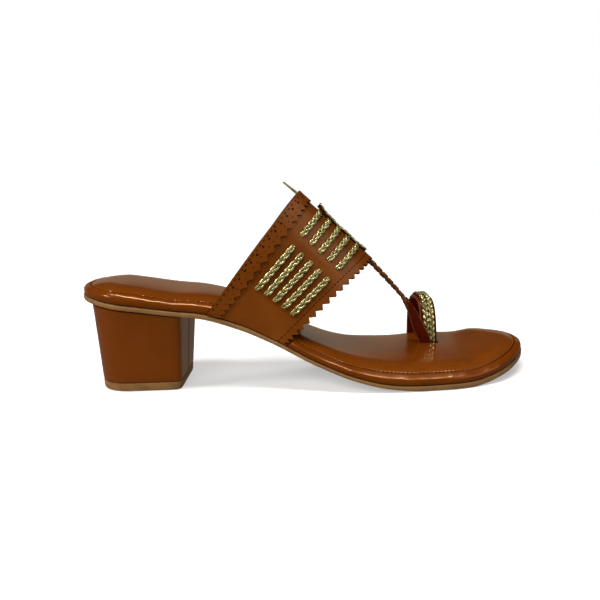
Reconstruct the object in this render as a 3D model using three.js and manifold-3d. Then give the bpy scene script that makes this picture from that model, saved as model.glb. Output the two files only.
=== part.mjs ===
// Heeled toe-ring sandal for the right foot, in millimetres.
// +X runs to the toe, +Y to the medial side (the big toe) and +Z up.
// The origin is on the floor, under the middle of the sole's outline.
import * as THREE from "three";
import { mergeVertices } from "three/addons/utils/BufferGeometryUtils.js";
import Module from "manifold-3d";

const wasm = await Module();
wasm.setup();

// Driving dimensions
const LENGTH = 239.2; // heel back to toe tip, in plan
const GLUE = 0.3; // glue line between neighbouring pieces
const WALL = 2; // instep band: leather and lining together
const STATIONS = 40; // steps along the sole

// Plan outline of the outsole. "turn" goes from 0 at the heel's back to 1 at the toe tip.
// A cosine places each row along the length, so that both ends come out round.
const OUTLINE = [
  { turn: 0.0, medial: -6.2, lateral: -6.2 },
  { turn: 0.1, medial: 9.4, lateral: -23.2 },
  { turn: 0.2, medial: 20.2, lateral: -33.0 },
  { turn: 0.3, medial: 21.2, lateral: -33.9 },
  { turn: 0.4, medial: 17.4, lateral: -33.0 },
  { turn: 0.5, medial: 18.6, lateral: -37.8 },
  { turn: 0.6, medial: 33.6, lateral: -42.4 },
  { turn: 0.7, medial: 42.4, lateral: -40.9 },
  { turn: 0.8, medial: 40.6, lateral: -32.2 },
  { turn: 0.9, medial: 24.6, lateral: -15.6 },
  { turn: 1.0, medial: 4.4, lateral: 4.4 },
];

// Side profile. "along" is measured from the heel's back, "under" is the height of the
// outsole's underside, "sole" its thickness, "rim" the height of the rolled rim above it and
// "pad" the rise of the padded insole above that rim.
const PROFILE = [
  { along: 0, under: 48.8, sole: 2.4, rim: 4.4, pad: 1.8 },
  { along: 22, under: 45.8, sole: 2.4, rim: 5.1, pad: 3.1 },
  { along: 49, under: 42.0, sole: 2.4, rim: 5.0, pad: 2.2 },
  { along: 63, under: 40.0, sole: 2.5, rim: 4.9, pad: 3.0 },
  { along: 82, under: 33.8, sole: 2.6, rim: 4.8, pad: 4.8 },
  { along: 102, under: 24.9, sole: 2.2, rim: 4.9, pad: 3.8 },
  { along: 122, under: 14.4, sole: 1.9, rim: 5.0, pad: 2.8 },
  { along: 142, under: 6.2, sole: 1.9, rim: 5.1, pad: 3.1 },
  { along: 162, under: 1.4, sole: 2.1, rim: 5.4, pad: 3.9 },
  { along: 178, under: 0, sole: 2.6, rim: 5.4, pad: 3.9 },
  { along: 203, under: 0, sole: 2.8, rim: 5.2, pad: 3.5 },
  { along: 222, under: 3.2, sole: 2.8, rim: 5.1, pad: 3.9 },
  { along: LENGTH, under: 8.0, sole: 2.8, rim: 4.6, pad: 3.5 },
];

// Heel block and its top piece. Each row is a level: back and breast are measured from
// the heel's back, half is half the width. The breast leans round towards the medial side.
const HEEL_LEVELS = {
  floor: { back: 8.0, breast: 52.4, half: 19.2 },
  seat: { back: 5.6, breast: 55.2, half: 25.6 },
};
const HEEL_CENTRE = -6.2;
const HEEL_SKEW = 0.085; // breast's advance for each millimetre towards the medial side
const HEEL_BACK_POWER = 2.3; // roundness of the back
const HEEL_BREAST_POWER = 15; // squareness of the breast's corners
const HEEL_STATIONS = 22;
const TOP_PIECE_THICK = 4.6;
const TOP_PIECE_BEVEL = 0.6;

// Instep band. Its feet stand along the sole's edges, and its ridge runs down the instep.
const BAND = {
  footBack: 66.8, // lateral foot along the sole, from the heel's back
  footFront: 105.0,
  medialAhead: 7, // how much further forward the medial foot stands
  edgeInset: 0.6, // outer face, in from the outsole's edge
  ridgeBack: new THREE.Vector3(-3.6, -1.6, 100.3),
  ridgeFront: new THREE.Vector3(34.4, 0.4, 64.6),
  backBow: 1.2, // how far the sides of the back edge bow out behind it
  frontHollow: 1.2, // and how far the front edge is hollowed
  reachPower: 1.15, // 1 and 1 would be an ellipse, and more is more like a tent
  risePower: 1.6,
};
const TEETH = 38; // pinked teeth along each edge, foot to foot
const TOOTH_DEPTH = 2.4;
const COLLAR = { width: 8.4, thick: 0.8 };

// Gold braids: five side by side, in a lateral, a centre and a medial group. "from" and "to" are
// places around the band for the back one, and the slants move them on by the front one.
const BRAID = { width: 3.8, height: 1.8, pitch: 5.2, firstAcross: 0.3, stepAcross: 0.13, count: 5 };
const BRAID_GROUPS = [
  { name: "lateral", from: 0.305, to: 0.59, fromSlant: -0.03, toSlant: -0.03 },
  { name: "centre", from: 0.655, to: 1.345, fromSlant: -0.03, toSlant: 0.03 },
  { name: "medial", from: 1.41, to: 1.695, fromSlant: 0.03, toSlant: 0.03 },
];
const RIDGE_STRIP = { from: 0.27, to: 0.93, width: 7.2, thick: 1.0, liftBack: 2.0, liftFront: 1.0 };
const RIDGE_FLATTEN = 0.4; // height left to a centre braid where the strip presses on it
// Its tail, sewn in at the band's back edge. "out" is the distance behind that edge, and "level"
// the height above the band's outer face.
const STRIP_TAIL = [
  { out: GLUE, width: 3.0, thick: 1.2, level: -0.9 },
  { out: 9.4, width: 0.5, thick: 0.4, level: -1.4 },
];

// Toe ring: an arch of flat strap from the slit beside the big toe to the medial edge
const RING = {
  slit: new THREE.Vector2(69.5, 10.8),
  edge: new THREE.Vector2(66.0, 40.6),
  top: 34.6,
  width: 9.0,
  thick: 1.8,
  power: 3,
  steps: 28,
};
const RING_BRAID = { width: 6.4, height: 1.3, ahead: 0.6, from: 0.036, to: 0.9 };

// Thong from the toe slit up to the band. "face" turns the strap's width from X towards Y.
const THONG = [
  { x: 66.2, y: 7.1, z: 3.0, width: 7.0, thick: 1.8, face: 0 },
  { x: 66.2, y: 7.1, z: 12.8, width: 7.0, thick: 1.8, face: 0 },
  { x: 62.9, y: 7.1, z: 21.2, width: 6.6, thick: 1.8, face: 2 },
  { x: 59.2, y: 6.9, z: 30.1, width: 4.8, thick: 1.9, face: 14 },
  { x: 55.8, y: 6.4, z: 36.5, width: 4.2, thick: 2.1, face: 50 },
  { x: 52.4, y: 5.8, z: 41.7, width: 4.4, thick: 2.0, face: 84 },
  { x: 49.4, y: 5.0, z: 45.5, width: 4.8, thick: 1.8, face: 90 },
  { x: 43.6, y: 3.4, z: 52.2, width: 5.2, thick: 1.6, face: 90 },
  { x: 36.2, y: 1.4, z: 60.3, width: 5.4, thick: 1.6, face: 90 },
  { x: 31.0, y: 0.2, z: 65.4, width: 5.4, thick: 1.6, face: 90 },
];
const THONG_STEPS = 27;
const FOOT_BAR = 1.8; // height of the bar that ties thong and ring together under the insole

// Number helpers

const lerp = THREE.MathUtils.lerp;
const range = (count) => Array.from({ length: count }, (_, i) => i);

// A smooth curve through one column of a table, which never passes its own rows
function column(rows, at, value) {
  const x = rows.map((row) => row[at]);
  const y = rows.map((row) => row[value]);
  const steps = x.slice(1).map((next, i) => (y[i + 1] - y[i]) / (next - x[i]));
  const slopes = x.map((_, i) => {
    const before = steps[Math.max(i - 1, 0)];
    const after = steps[Math.min(i, steps.length - 1)];
    return before * after > 0 ? (2 * before * after) / (before + after) : 0;
  });
  return (p) => {
    const beyond = x.findIndex((next) => next > p);
    const i = THREE.MathUtils.clamp(beyond < 0 ? x.length - 2 : beyond - 1, 0, x.length - 2);
    const h = x[i + 1] - x[i];
    const t = THREE.MathUtils.clamp((p - x[i]) / h, 0, 1);
    const ease = t * t * (3 - 2 * t);
    const leave = h * slopes[i] * t * (1 - t) ** 2;
    const arrive = h * slopes[i + 1] * t * t * (t - 1);
    return lerp(y[i], y[i + 1], ease) + leave + arrive;
  };
}

const medialEdge = column(OUTLINE, "turn", "medial");
const lateralEdge = column(OUTLINE, "turn", "lateral");
const underside = column(PROFILE, "along", "under");
const soleThick = column(PROFILE, "along", "sole");
const rimHeight = column(PROFILE, "along", "rim");
const padHeight = column(PROFILE, "along", "pad");
const along = (x) => x + LENGTH / 2;

// Solids

// A mesh geometry from corner points and triangles of their numbers
function geometryOf(points, triangles) {
  const geometry = new THREE.BufferGeometry().setFromPoints(points);
  geometry.setIndex(triangles);
  return geometry;
}

// A closed geometry as a solid that can be joined and cut
function solidOf(geometry) {
  const bare = geometry.clone();
  bare.deleteAttribute("normal");
  bare.deleteAttribute("uv");
  const merged = mergeVertices(bare, 1e-4);
  return new wasm.Manifold(
    new wasm.Mesh({
      numProp: 3,
      vertProperties: new Float32Array(merged.attributes.position.array),
      triVerts: new Uint32Array(merged.index.array),
    }),
  );
}

function geometryFrom(solid) {
  const { vertProperties, triVerts } = solid.getMesh();
  const geometry = new THREE.BufferGeometry();
  geometry.setAttribute("position", new THREE.BufferAttribute(vertProperties, 3));
  geometry.setIndex(new THREE.BufferAttribute(triVerts, 1));
  return geometry;
}

// A box between two corners, as a cutting tool
function boxTool(low, high) {
  const size = new THREE.Vector3().subVectors(high, low);
  const centre = new THREE.Vector3().addVectors(low, high).multiplyScalar(0.5);
  return solidOf(new THREE.BoxGeometry(size.x, size.y, size.z).translate(centre.x, centre.y, centre.z));
}

// A solid stacked from closed rings, lowest first. Each ring starts at its back tip, runs up
// the medial side to its front tip and back along the lateral side. The faces at both ends are
// ladders of strips from side to side, and "lift" domes the top one.
function stack(rings, across = 1, lift = () => 0) {
  const points = rings.flat();
  const count = rings[0].length;
  const half = count / 2;
  const triangles = [];
  for (const level of range(rings.length - 1))
    for (const i of range(count)) {
      const [a, b] = [level * count + i, level * count + ((i + 1) % count)];
      triangles.push(a, a + count, b, b, a + count, b + count);
    }
  const ladder = (first, up, strips) => {
    const rungs = range(half + 1).map((i) => {
      if (i === 0 || i === half) return range(strips + 1).map(() => first + i);
      const [m, l] = [first + i, first + count - i];
      return range(strips + 1).map((k) => {
        if (k === 0 || k === strips) return k ? l : m;
        const p = points[m].clone().lerp(points[l], k / strips);
        p.z += up ? lift(p.x, (2 * k) / strips - 1) : 0;
        return points.push(p) - 1;
      });
    });
    for (const i of range(half))
      for (const k of range(strips)) {
        const [a, b, c, d] = [rungs[i][k], rungs[i][k + 1], rungs[i + 1][k], rungs[i + 1][k + 1]];
        const faces = up ? [[a, b, c], [c, b, d]] : [[a, c, b], [c, d, b]];
        for (const face of faces) if (new Set(face).size === 3) triangles.push(...face);
      }
  };
  ladder(0, false, 1);
  ladder((rings.length - 1) * count, true, across);
  return geometryOf(points, triangles);
}

// A solid swept through frames. Each frame has an origin, the directions "side" and "up", and a
// width and height that scale the section's points.
function sweep(frames, section) {
  const count = section.length;
  const points = frames.flatMap((frame) =>
    section.map(([a, u]) =>
      frame.origin
        .clone()
        .addScaledVector(frame.side, a * frame.width)
        .addScaledVector(frame.up, u * frame.height),
    ),
  );
  const triangles = [];
  for (const ring of range(frames.length - 1))
    for (const i of range(count)) {
      const [a, b] = [ring * count + i, ring * count + ((i + 1) % count)];
      triangles.push(a, b, a + count, b, b + count, a + count);
    }
  const last = points.length - count;
  for (const i of range(count - 2)) {
    triangles.push(0, i + 2, i + 1);
    triangles.push(last, last + i + 1, last + i + 2);
  }
  return geometryOf(points, triangles);
}

// Sections, as shares of width and height, running round against the direction of travel
const FLAT_SECTION = [[-0.5, -0.5], [0.5, -0.5], [0.5, 0.5], [-0.5, 0.5]];
const BRAID_SECTION = [[-0.5, 0], [0.5, 0], [0.48, 0.55], [0.26, 1], [-0.26, 1], [-0.48, 0.55]];

// Sole

// The outline as a closed path: 0 to 1 up the medial side, 1 to 2 back along the lateral side
function outlinePoint(path) {
  const turn = path <= 1 ? path : 2 - path;
  const y = path <= 1 ? medialEdge(turn) : lateralEdge(turn);
  return new THREE.Vector2((-LENGTH / 2) * Math.cos(Math.PI * turn), y);
}

function insetPoint(path, inset) {
  const nudge = 0.004;
  const wrap = (p) => (p + 2) % 2;
  const ahead = outlinePoint(wrap(path + nudge));
  const tangent = ahead.sub(outlinePoint(wrap(path - nudge))).normalize();
  const inward = new THREE.Vector2(tangent.y, -tangent.x);
  return outlinePoint(path).addScaledVector(inward, inset);
}

// A ring round the sole, "inset" from its outline. Its height depends on the place along the sole
// and on the path round it.
function soleRing({ inset, height }) {
  return range(2 * STATIONS).map((i) => {
    const path = i / STATIONS;
    const p = insetPoint(path, inset);
    return new THREE.Vector3(p.x, p.y, height(along(p.x), path));
  });
}

function outsole() {
  const rings = [
    { inset: 0.7, height: (a) => underside(a) },
    { inset: 0, height: (a) => underside(a) + 0.7 },
    { inset: 0, height: (a) => underside(a) + soleThick(a) - 0.4 },
    { inset: 0.4, height: (a) => underside(a) + soleThick(a) },
  ];
  return stack(rings.map(soleRing));
}

const footbedBase = (a) => underside(a) + soleThick(a) + GLUE;
const rimTop = (a) => footbedBase(a) + rimHeight(a);
const TRAY_INSET = 5.4; // where the rim's roll drops to the tray that holds the insole
const TRAY_SHARE = 0.5; // tray's height as a share of the rim

// Leather-wrapped footbed: a rolled rim round a shallow tray
function footbed() {
  const rows = [
    { inset: 1.6, share: 0 },
    { inset: 0.7, share: 0.18 },
    { inset: 0.4, share: 0.5 },
    { inset: 0.9, share: 0.78 },
    { inset: 1.9, share: 0.95 },
    { inset: 3.2, share: 1 },
    { inset: 4.6, share: 0.86 },
    { inset: TRAY_INSET, share: TRAY_SHARE },
  ];
  const at = (share) => (a) => footbedBase(a) + rimHeight(a) * share;
  return stack(rows.map(({ inset, share }) => soleRing({ inset, height: at(share) })));
}

// Padded insole: its edge sits in the tray and its top is domed. "inset" goes on from the tray's
// edge, and the shares of the pad's rise say how it swells on each side: the lateral side slopes
// gently and the medial side is fuller.
const INSOLE_SHOULDER = [
  { inset: 0.2, lateral: -0.12, medial: -0.12 },
  { inset: 1.2, lateral: 0.06, medial: 0.28 },
  { inset: 3.6, lateral: 0.25, medial: 0.63 },
  { inset: 9.4, lateral: 0.57, medial: 0.88 },
];
const INSOLE_CROWN = 0.23; // share of the rise that is left to the middle

function insole() {
  const tray = (a) => footbedBase(a) + rimHeight(a) * TRAY_SHARE + GLUE;
  const shoulder = INSOLE_SHOULDER.map(({ inset, lateral, medial }) => ({
    inset: TRAY_INSET + inset,
    height: (a, path) => {
      const share = lerp(lateral, medial, 0.5 + 0.5 * Math.sin(Math.PI * path));
      return rimTop(a) + padHeight(a) * share;
    },
  }));
  const rings = [
    { inset: TRAY_INSET + 1.2, height: tray },
    { inset: TRAY_INSET + 0.4, height: (a) => tray(a) + 0.5 },
    ...shoulder,
  ];
  const dome = (x, v) => padHeight(along(x)) * INSOLE_CROWN * (1 - v * v);
  return stack(rings.map(soleRing), 8, dome);
}

// Heel

// A D-shaped ring: round at the back, nearly square at the breast. Level 0 is the floor, 1 the seat.
function heelRing(level, inset, height) {
  const { floor, seat } = HEEL_LEVELS;
  const back = lerp(floor.back, seat.back, level) + inset;
  const breast = lerp(floor.breast, seat.breast, level) - inset;
  const half = lerp(floor.half, seat.half, level) - inset;
  const middle = back + (breast - back) * 0.42;
  return range(2 * HEEL_STATIONS).map((i) => {
    const angle = Math.PI * (1 - i / HEEL_STATIONS);
    const [c, s] = [Math.cos(angle), Math.sin(angle)];
    const power = 2 / (c < 0 ? HEEL_BACK_POWER : HEEL_BREAST_POWER);
    const reach = Math.sign(c) * Math.abs(c) ** power * (c < 0 ? middle - back : breast - middle);
    const y = Math.sign(s) * Math.abs(s) ** power * half;
    const x = middle + reach + y * HEEL_SKEW - LENGTH / 2;
    return new THREE.Vector3(x, HEEL_CENTRE + y, height(along(x)));
  });
}

function heelBlock() {
  const low = TOP_PIECE_THICK + GLUE;
  const levels = [
    heelRing(low / 45, 0, () => low),
    heelRing(0.5, 0, (a) => lerp(low, underside(a) - GLUE, 0.5)),
    heelRing(1, 0, (a) => underside(a) - GLUE),
  ];
  return stack(levels);
}

function topPiece() {
  return stack([
    heelRing(0, TOP_PIECE_BEVEL, () => 0),
    heelRing(0, 0, () => TOP_PIECE_BEVEL),
    heelRing(0.08, 0, () => TOP_PIECE_THICK),
  ]);
}

// Instep band

// The band is a shell over the instep. "across" goes from 0 at its back edge to 1 at its front
// edge, and "around" from 0 at the lateral foot over 1 at the ridge to 2 at the medial foot.
function bandPoint(across, around) {
  const ahead = around < 1 ? 0 : BAND.medialAhead;
  const place = lerp(BAND.footBack, BAND.footFront, across) + ahead;
  const turn = Math.acos(THREE.MathUtils.clamp(1 - (2 * place) / LENGTH, -1, 1)) / Math.PI;
  const edge = around < 1 ? lateralEdge(turn) + BAND.edgeInset : medialEdge(turn) - BAND.edgeInset;
  const foot = new THREE.Vector3(place - LENGTH / 2, edge, footbedBase(place));
  const ridge = BAND.ridgeBack.clone().lerp(BAND.ridgeFront, across);
  const angle = (around * Math.PI) / 2;
  const rise = Math.sign(angle * (Math.PI - angle)) * Math.abs(Math.sin(angle)) ** BAND.risePower;
  const reach = Math.abs(Math.cos(angle)) ** BAND.reachPower;
  return new THREE.Vector3(
    lerp(foot.x, ridge.x, rise),
    lerp(ridge.y, foot.y, reach),
    lerp(foot.z, ridge.z, rise),
  );
}

// Directions on the band: along "across", along "around", and straight out
function bandFrame(across, around) {
  const nudge = 0.003;
  const difference = (a, b) => bandPoint(...a).sub(bandPoint(...b)).normalize();
  const side = difference([across + nudge, around], [across - nudge, around]);
  const travel = difference([across, around + nudge], [across, around - nudge]);
  const up = new THREE.Vector3().crossVectors(side, travel).normalize();
  return { side, travel, up };
}

const bandOffset = (across, around, out) =>
  bandPoint(across, around).addScaledVector(bandFrame(across, around).up, out);

const bandWidth = (around) => bandPoint(0, around).distanceTo(bandPoint(1, around));

// Teeth of a pinked edge: 0 in the notches and 1 at the points
const tooth = (step) => (step % 2 ? 1 : 0);

// The band's two edges as across values: they bend a little half-way down each side
const sideways = (around) => Math.sin(Math.PI * around) ** 2;
const backEdge = (around) => (-BAND.backBow * sideways(around)) / bandWidth(around);
const frontEdge = (around) => 1 - (BAND.frontHollow * sideways(around)) / bandWidth(around);

// A shell on the band's surface between two distances out from it. "from" and "to" give the
// across values of its two edges at each step around, and a tooth takes two steps.
function bandShell({ inside, outside, from, to, lowest = 0, highest = 2, steps = 2 * TEETH, columns = 3 }) {
  const points = [];
  const grid = (out) =>
    range(steps + 1).map((i) => {
      const around = lerp(lowest, highest, i / steps);
      return range(columns + 1).map((j) => {
        const across = lerp(from(around, i), to(around, i), j / columns);
        return points.push(bandOffset(across, around, out)) - 1;
      });
    });
  const [outer, inner] = [grid(outside), grid(inside)];
  const triangles = [];
  const quad = (a, b, c, d) => triangles.push(a, c, b, a, d, c);
  for (const i of range(steps)) {
    for (const j of range(columns)) {
      quad(outer[i][j], outer[i + 1][j], outer[i + 1][j + 1], outer[i][j + 1]);
      quad(inner[i][j], inner[i][j + 1], inner[i + 1][j + 1], inner[i + 1][j]);
    }
    quad(outer[i][0], inner[i][0], inner[i + 1][0], outer[i + 1][0]);
    quad(outer[i][columns], outer[i + 1][columns], inner[i + 1][columns], inner[i][columns]);
  }
  for (const j of range(columns)) {
    quad(outer[0][j], outer[0][j + 1], inner[0][j + 1], inner[0][j]);
    quad(outer[steps][j], inner[steps][j], inner[steps][j + 1], outer[steps][j + 1]);
  }
  return geometryOf(points, triangles);
}

function band() {
  return bandShell({
    inside: -WALL,
    outside: 0,
    from: backEdge,
    to: (around, i) => frontEdge(around) + (tooth(i) * TOOTH_DEPTH) / bandWidth(around),
  });
}

const RECESS_STEPS = 68;

// The room that the band takes out of the footbed's rim, open to the outside
function bandRecess() {
  return bandShell({
    inside: -WALL - GLUE,
    outside: 9,
    from: (around) => backEdge(around) - GLUE / bandWidth(around),
    to: (around) => 1 + (TOOTH_DEPTH + GLUE) / bandWidth(around),
    lowest: -0.03,
    highest: 2.03,
    steps: RECESS_STEPS,
  });
}

// Overlay along the band's back edge, pinked on its front side
function collar() {
  return bandShell({
    inside: GLUE,
    outside: GLUE + COLLAR.thick,
    from: backEdge,
    to: (around, i) => (COLLAR.width + (tooth(i) - 1) * TOOTH_DEPTH) / bandWidth(around),
    lowest: 0.012,
    highest: 1.988,
    columns: 1,
  });
}

// A raised braid that follows the band round the foot
function bandBraid(across, from, to) {
  const length = range(12).reduce((sum, k) => {
    const [a, b] = [lerp(from, to, k / 12), lerp(from, to, (k + 1) / 12)];
    return sum + bandPoint(across, a).distanceTo(bandPoint(across, b));
  }, 0);
  const steps = 2 * Math.round(length / BRAID.pitch);
  const frames = range(steps + 1).map((k) => {
    const around = lerp(from, to, k / steps);
    const { side, up } = bandFrame(across, around);
    const end = k === 0 || k === steps;
    const swell = end ? 0.62 : 1 - 0.1 * (k % 2);
    const press = Math.max(0, 1 - Math.abs(around - 1) / 0.22);
    return {
      origin: bandOffset(across, around, GLUE),
      side: side.negate(),
      up,
      width: BRAID.width * swell,
      height: BRAID.height * (end ? 0.5 : lerp(1, RIDGE_FLATTEN, press)),
    };
  });
  return sweep(frames, BRAID_SECTION);
}

// Flat double braid along the ridge, lying on the centre braids, with both ends lifted
function ridgeStrip() {
  const steps = 12;
  const frames = range(steps + 1).map((k) => {
    const across = lerp(RIDGE_STRIP.from, RIDGE_STRIP.to, k / steps);
    const { travel, up } = bandFrame(across, 1);
    const back = RIDGE_STRIP.liftBack * Math.max(0, 1 - k / 3) ** 2;
    const front = RIDGE_STRIP.liftFront * Math.max(0, 1 - (steps - k) / 2) ** 2;
    return {
      origin: bandOffset(across, 1, 2 * GLUE + BRAID.height * RIDGE_FLATTEN + back + front),
      side: travel,
      up,
      width: RIDGE_STRIP.width * (1 - 0.06 * (k % 2)),
      height: RIDGE_STRIP.thick,
    };
  });
  return sweep(frames, BRAID_SECTION);
}

// Tail of that strip: a flat spike that stands out behind the band
function stripTail() {
  const { travel, up } = bandFrame(0, 1);
  const frames = STRIP_TAIL.map(({ out, width, thick, level }) => ({
    origin: bandOffset(-out / bandWidth(1), 1, level),
    side: travel.clone().negate(),
    up,
    width,
    height: thick,
  }));
  return sweep(frames, FLAT_SECTION);
}

// Toe ring and thong

// The ring's middle line: 0 at the slit's foot, 1 at the medial edge's foot
function ringPoint(share) {
  const angle = Math.PI * (1 - share);
  const bend = (value) => Math.sign(value) * Math.abs(value) ** (2 / RING.power);
  const reach = (1 + bend(Math.cos(angle))) / 2;
  const low = footbedBase(along(RING.slit.x));
  return new THREE.Vector3(
    lerp(RING.slit.x, RING.edge.x, reach),
    lerp(RING.slit.y, RING.edge.y, reach),
    low + (RING.top - low) * bend(Math.sin(angle)),
  );
}

// Frames along the ring, a distance out from its middle line
function ringFrames(from, to, steps, out, size) {
  const side = new THREE.Vector3(1, 0, 0);
  return range(steps + 1).map((k) => {
    const share = lerp(from, to, k / steps);
    const nudge = 0.002;
    const [low, high] = [Math.max(share - nudge, 0), Math.min(share + nudge, 1)];
    const travel = ringPoint(high).sub(ringPoint(low));
    travel.x = 0;
    const up = new THREE.Vector3().crossVectors(side, travel.normalize());
    return { origin: ringPoint(share).addScaledVector(up, out), side, up, ...size(k) };
  });
}

function toeRing() {
  const size = () => ({ width: RING.width, height: RING.thick });
  return sweep(ringFrames(0, 1, RING.steps, 0, size), FLAT_SECTION.toReversed());
}

function ringBraid() {
  const steps = 18;
  const size = (k) => ({
    width: RING_BRAID.width * (k === 0 || k === steps ? 0.7 : 1 - 0.07 * (k % 2)),
    height: RING_BRAID.height * (k === 0 || k === steps ? 0.6 : 1),
  });
  const frames = ringFrames(RING_BRAID.from, RING_BRAID.to, steps, RING.thick / 2 + GLUE, size);
  for (const frame of frames) frame.origin.x += RING_BRAID.ahead;
  return sweep(frames, BRAID_SECTION.toReversed());
}

// The thong's strap, flat at the slit and turning into a narrow plait on its way up
function thong() {
  const rows = THONG.map((row, place) => ({ ...row, place }));
  const value = Object.fromEntries(
    ["x", "y", "z", "width", "thick", "face"].map((name) => [name, column(rows, "place", name)]),
  );
  const point = (place) => new THREE.Vector3(value.x(place), value.y(place), value.z(place));
  const end = rows.length - 1;
  const frames = range(THONG_STEPS + 1).map((k) => {
    const place = (end * k) / THONG_STEPS;
    const nudge = 0.05;
    const ahead = point(Math.min(place + nudge, end));
    const travel = ahead.sub(point(Math.max(place - nudge, 0))).normalize();
    const face = THREE.MathUtils.degToRad(value.face(place));
    const side = new THREE.Vector3(Math.cos(face), Math.sin(face), 0);
    side.addScaledVector(travel, -side.dot(travel)).normalize();
    const up = new THREE.Vector3().crossVectors(travel, side);
    return { origin: point(place), side, up, width: value.width(place), height: value.thick(place) };
  });
  return sweep(frames, FLAT_SECTION);
}

// A bar below the insole that ties the thong's foot to the ring's leg
function footBar() {
  const [foot, leg] = [THONG[0], RING.slit];
  return boxTool(
    new THREE.Vector3(foot.x - foot.width / 2, foot.y, foot.z),
    new THREE.Vector3(foot.x + foot.width / 2, leg.y, foot.z + FOOT_BAR),
  );
}

// The upper: band, thong and toe ring, joined where they meet
function upper() {
  const straps = solidOf(thong()).add(footBar()).add(solidOf(toeRing()));
  return geometryFrom(solidOf(band()).add(straps));
}

// Openings that the straps go down through
function slitTool() {
  const [foot, leg] = [THONG[0], RING.slit];
  const back = Math.min(foot.x - foot.width / 2, leg.x - RING.width / 2) - GLUE;
  const front = Math.max(foot.x + foot.width / 2, leg.x + RING.width / 2) + GLUE;
  const lateral = foot.y - foot.thick / 2 - GLUE;
  const medial = leg.y + RING.thick / 2 + GLUE;
  return boxTool(new THREE.Vector3(back, lateral, -1), new THREE.Vector3(front, medial, 25));
}

function ringEdgeTool() {
  const half = RING.width / 2 + GLUE;
  const medial = RING.edge.y - RING.thick / 2 - GLUE;
  return boxTool(
    new THREE.Vector3(RING.edge.x - half, medial, -1),
    new THREE.Vector3(RING.edge.x + half, medial + 12, 25),
  );
}

// Assembly

const LEATHER = new THREE.MeshStandardMaterial({ color: 0x8a4516, roughness: 0.42, metalness: 0 });
const HEEL_LEATHER = new THREE.MeshStandardMaterial({ color: 0x7a3a10, roughness: 0.36, metalness: 0 });
const SOLE_RUBBER = new THREE.MeshStandardMaterial({ color: 0xa87c48, roughness: 0.7, metalness: 0 });
const GOLD_CORD = new THREE.MeshStandardMaterial({ color: 0xb9a05a, roughness: 0.38, metalness: 0.75 });

const sandal = new THREE.Group();

function piece(name, geometry, material) {
  const mesh = new THREE.Mesh(geometry, material);
  mesh.name = name;
  sandal.add(mesh);
}

piece("outsole", outsole(), SOLE_RUBBER);
piece("heel_top_piece", topPiece(), SOLE_RUBBER);
piece("heel_block", heelBlock(), HEEL_LEATHER);
const recess = solidOf(bandRecess());
const cutFootbed = solidOf(footbed()).subtract(recess).subtract(slitTool()).subtract(ringEdgeTool());
piece("footbed", geometryFrom(cutFootbed), LEATHER);
piece("insole", geometryFrom(solidOf(insole()).subtract(recess).subtract(slitTool())), LEATHER);
piece("upper", upper(), LEATHER);
piece("collar_overlay", collar(), LEATHER);
for (const group of BRAID_GROUPS)
  for (const i of range(BRAID.count)) {
    const across = BRAID.firstAcross + i * BRAID.stepAcross;
    const share = i / (BRAID.count - 1);
    const [from, to] = [group.from + group.fromSlant * share, group.to + group.toSlant * share];
    piece(`braid_${group.name}_${i + 1}`, bandBraid(across, from, to), GOLD_CORD);
  }
piece("ridge_strip", ridgeStrip(), GOLD_CORD);
piece("strip_tail", stripTail(), GOLD_CORD);
piece("toe_ring_braid", ringBraid(), GOLD_CORD);

export default sandal;
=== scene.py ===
# %% [markdown]
# # A heeled toe-ring sandal
# The solids of this sandal are already drawn and packed. This lesson dresses them: each solid
# gets a smooth leather, cord or sole piece in the same place, with the finish of the real one.
# The frame comes first, because every other cell measures from it.

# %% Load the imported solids
import math

import bpy
import numpy as np
from mathutils import Matrix, Vector


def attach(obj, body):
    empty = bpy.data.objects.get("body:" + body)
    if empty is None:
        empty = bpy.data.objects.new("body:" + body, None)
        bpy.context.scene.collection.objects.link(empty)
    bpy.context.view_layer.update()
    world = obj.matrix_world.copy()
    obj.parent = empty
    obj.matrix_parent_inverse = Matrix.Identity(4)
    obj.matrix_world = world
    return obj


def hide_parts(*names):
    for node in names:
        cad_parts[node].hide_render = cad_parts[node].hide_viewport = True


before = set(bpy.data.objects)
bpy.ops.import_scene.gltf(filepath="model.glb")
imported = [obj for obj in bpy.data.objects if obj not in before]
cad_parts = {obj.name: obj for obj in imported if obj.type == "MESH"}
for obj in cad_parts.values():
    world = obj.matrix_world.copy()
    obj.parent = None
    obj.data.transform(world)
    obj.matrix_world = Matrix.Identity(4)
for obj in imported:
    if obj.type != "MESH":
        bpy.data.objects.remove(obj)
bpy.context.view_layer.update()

MM = 0.001  # the sandal is drawn in millimetres, and Blender works in metres

# %% [markdown]
# ## Camera
# A product portrait is taken from a little above the shoe, square to its outer side. The camera
# could be pointed with a Track To constraint. Here its axes are worked out, because the picture
# is also rolled by a degree or so, and a constraint would undo that.

# %% Camera
AIM = np.array([-4.0, 3.6, 40.0])  # the middle of the picture, in millimetres
DISTANCE = 450.0  # from there, in millimetres
AZIMUTH, ELEVATION, ROLL = np.radians([-1.5, 13.0, -1.5])
LENS = 48.6  # on Blender's 36 mm sensor
NEAREST = 0.01  # metres; nothing closer is drawn


def unit(v):
    """Vectors of length one; the last axis holds the three numbers."""
    return v / np.linalg.norm(v, axis=-1, keepdims=True)


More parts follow.
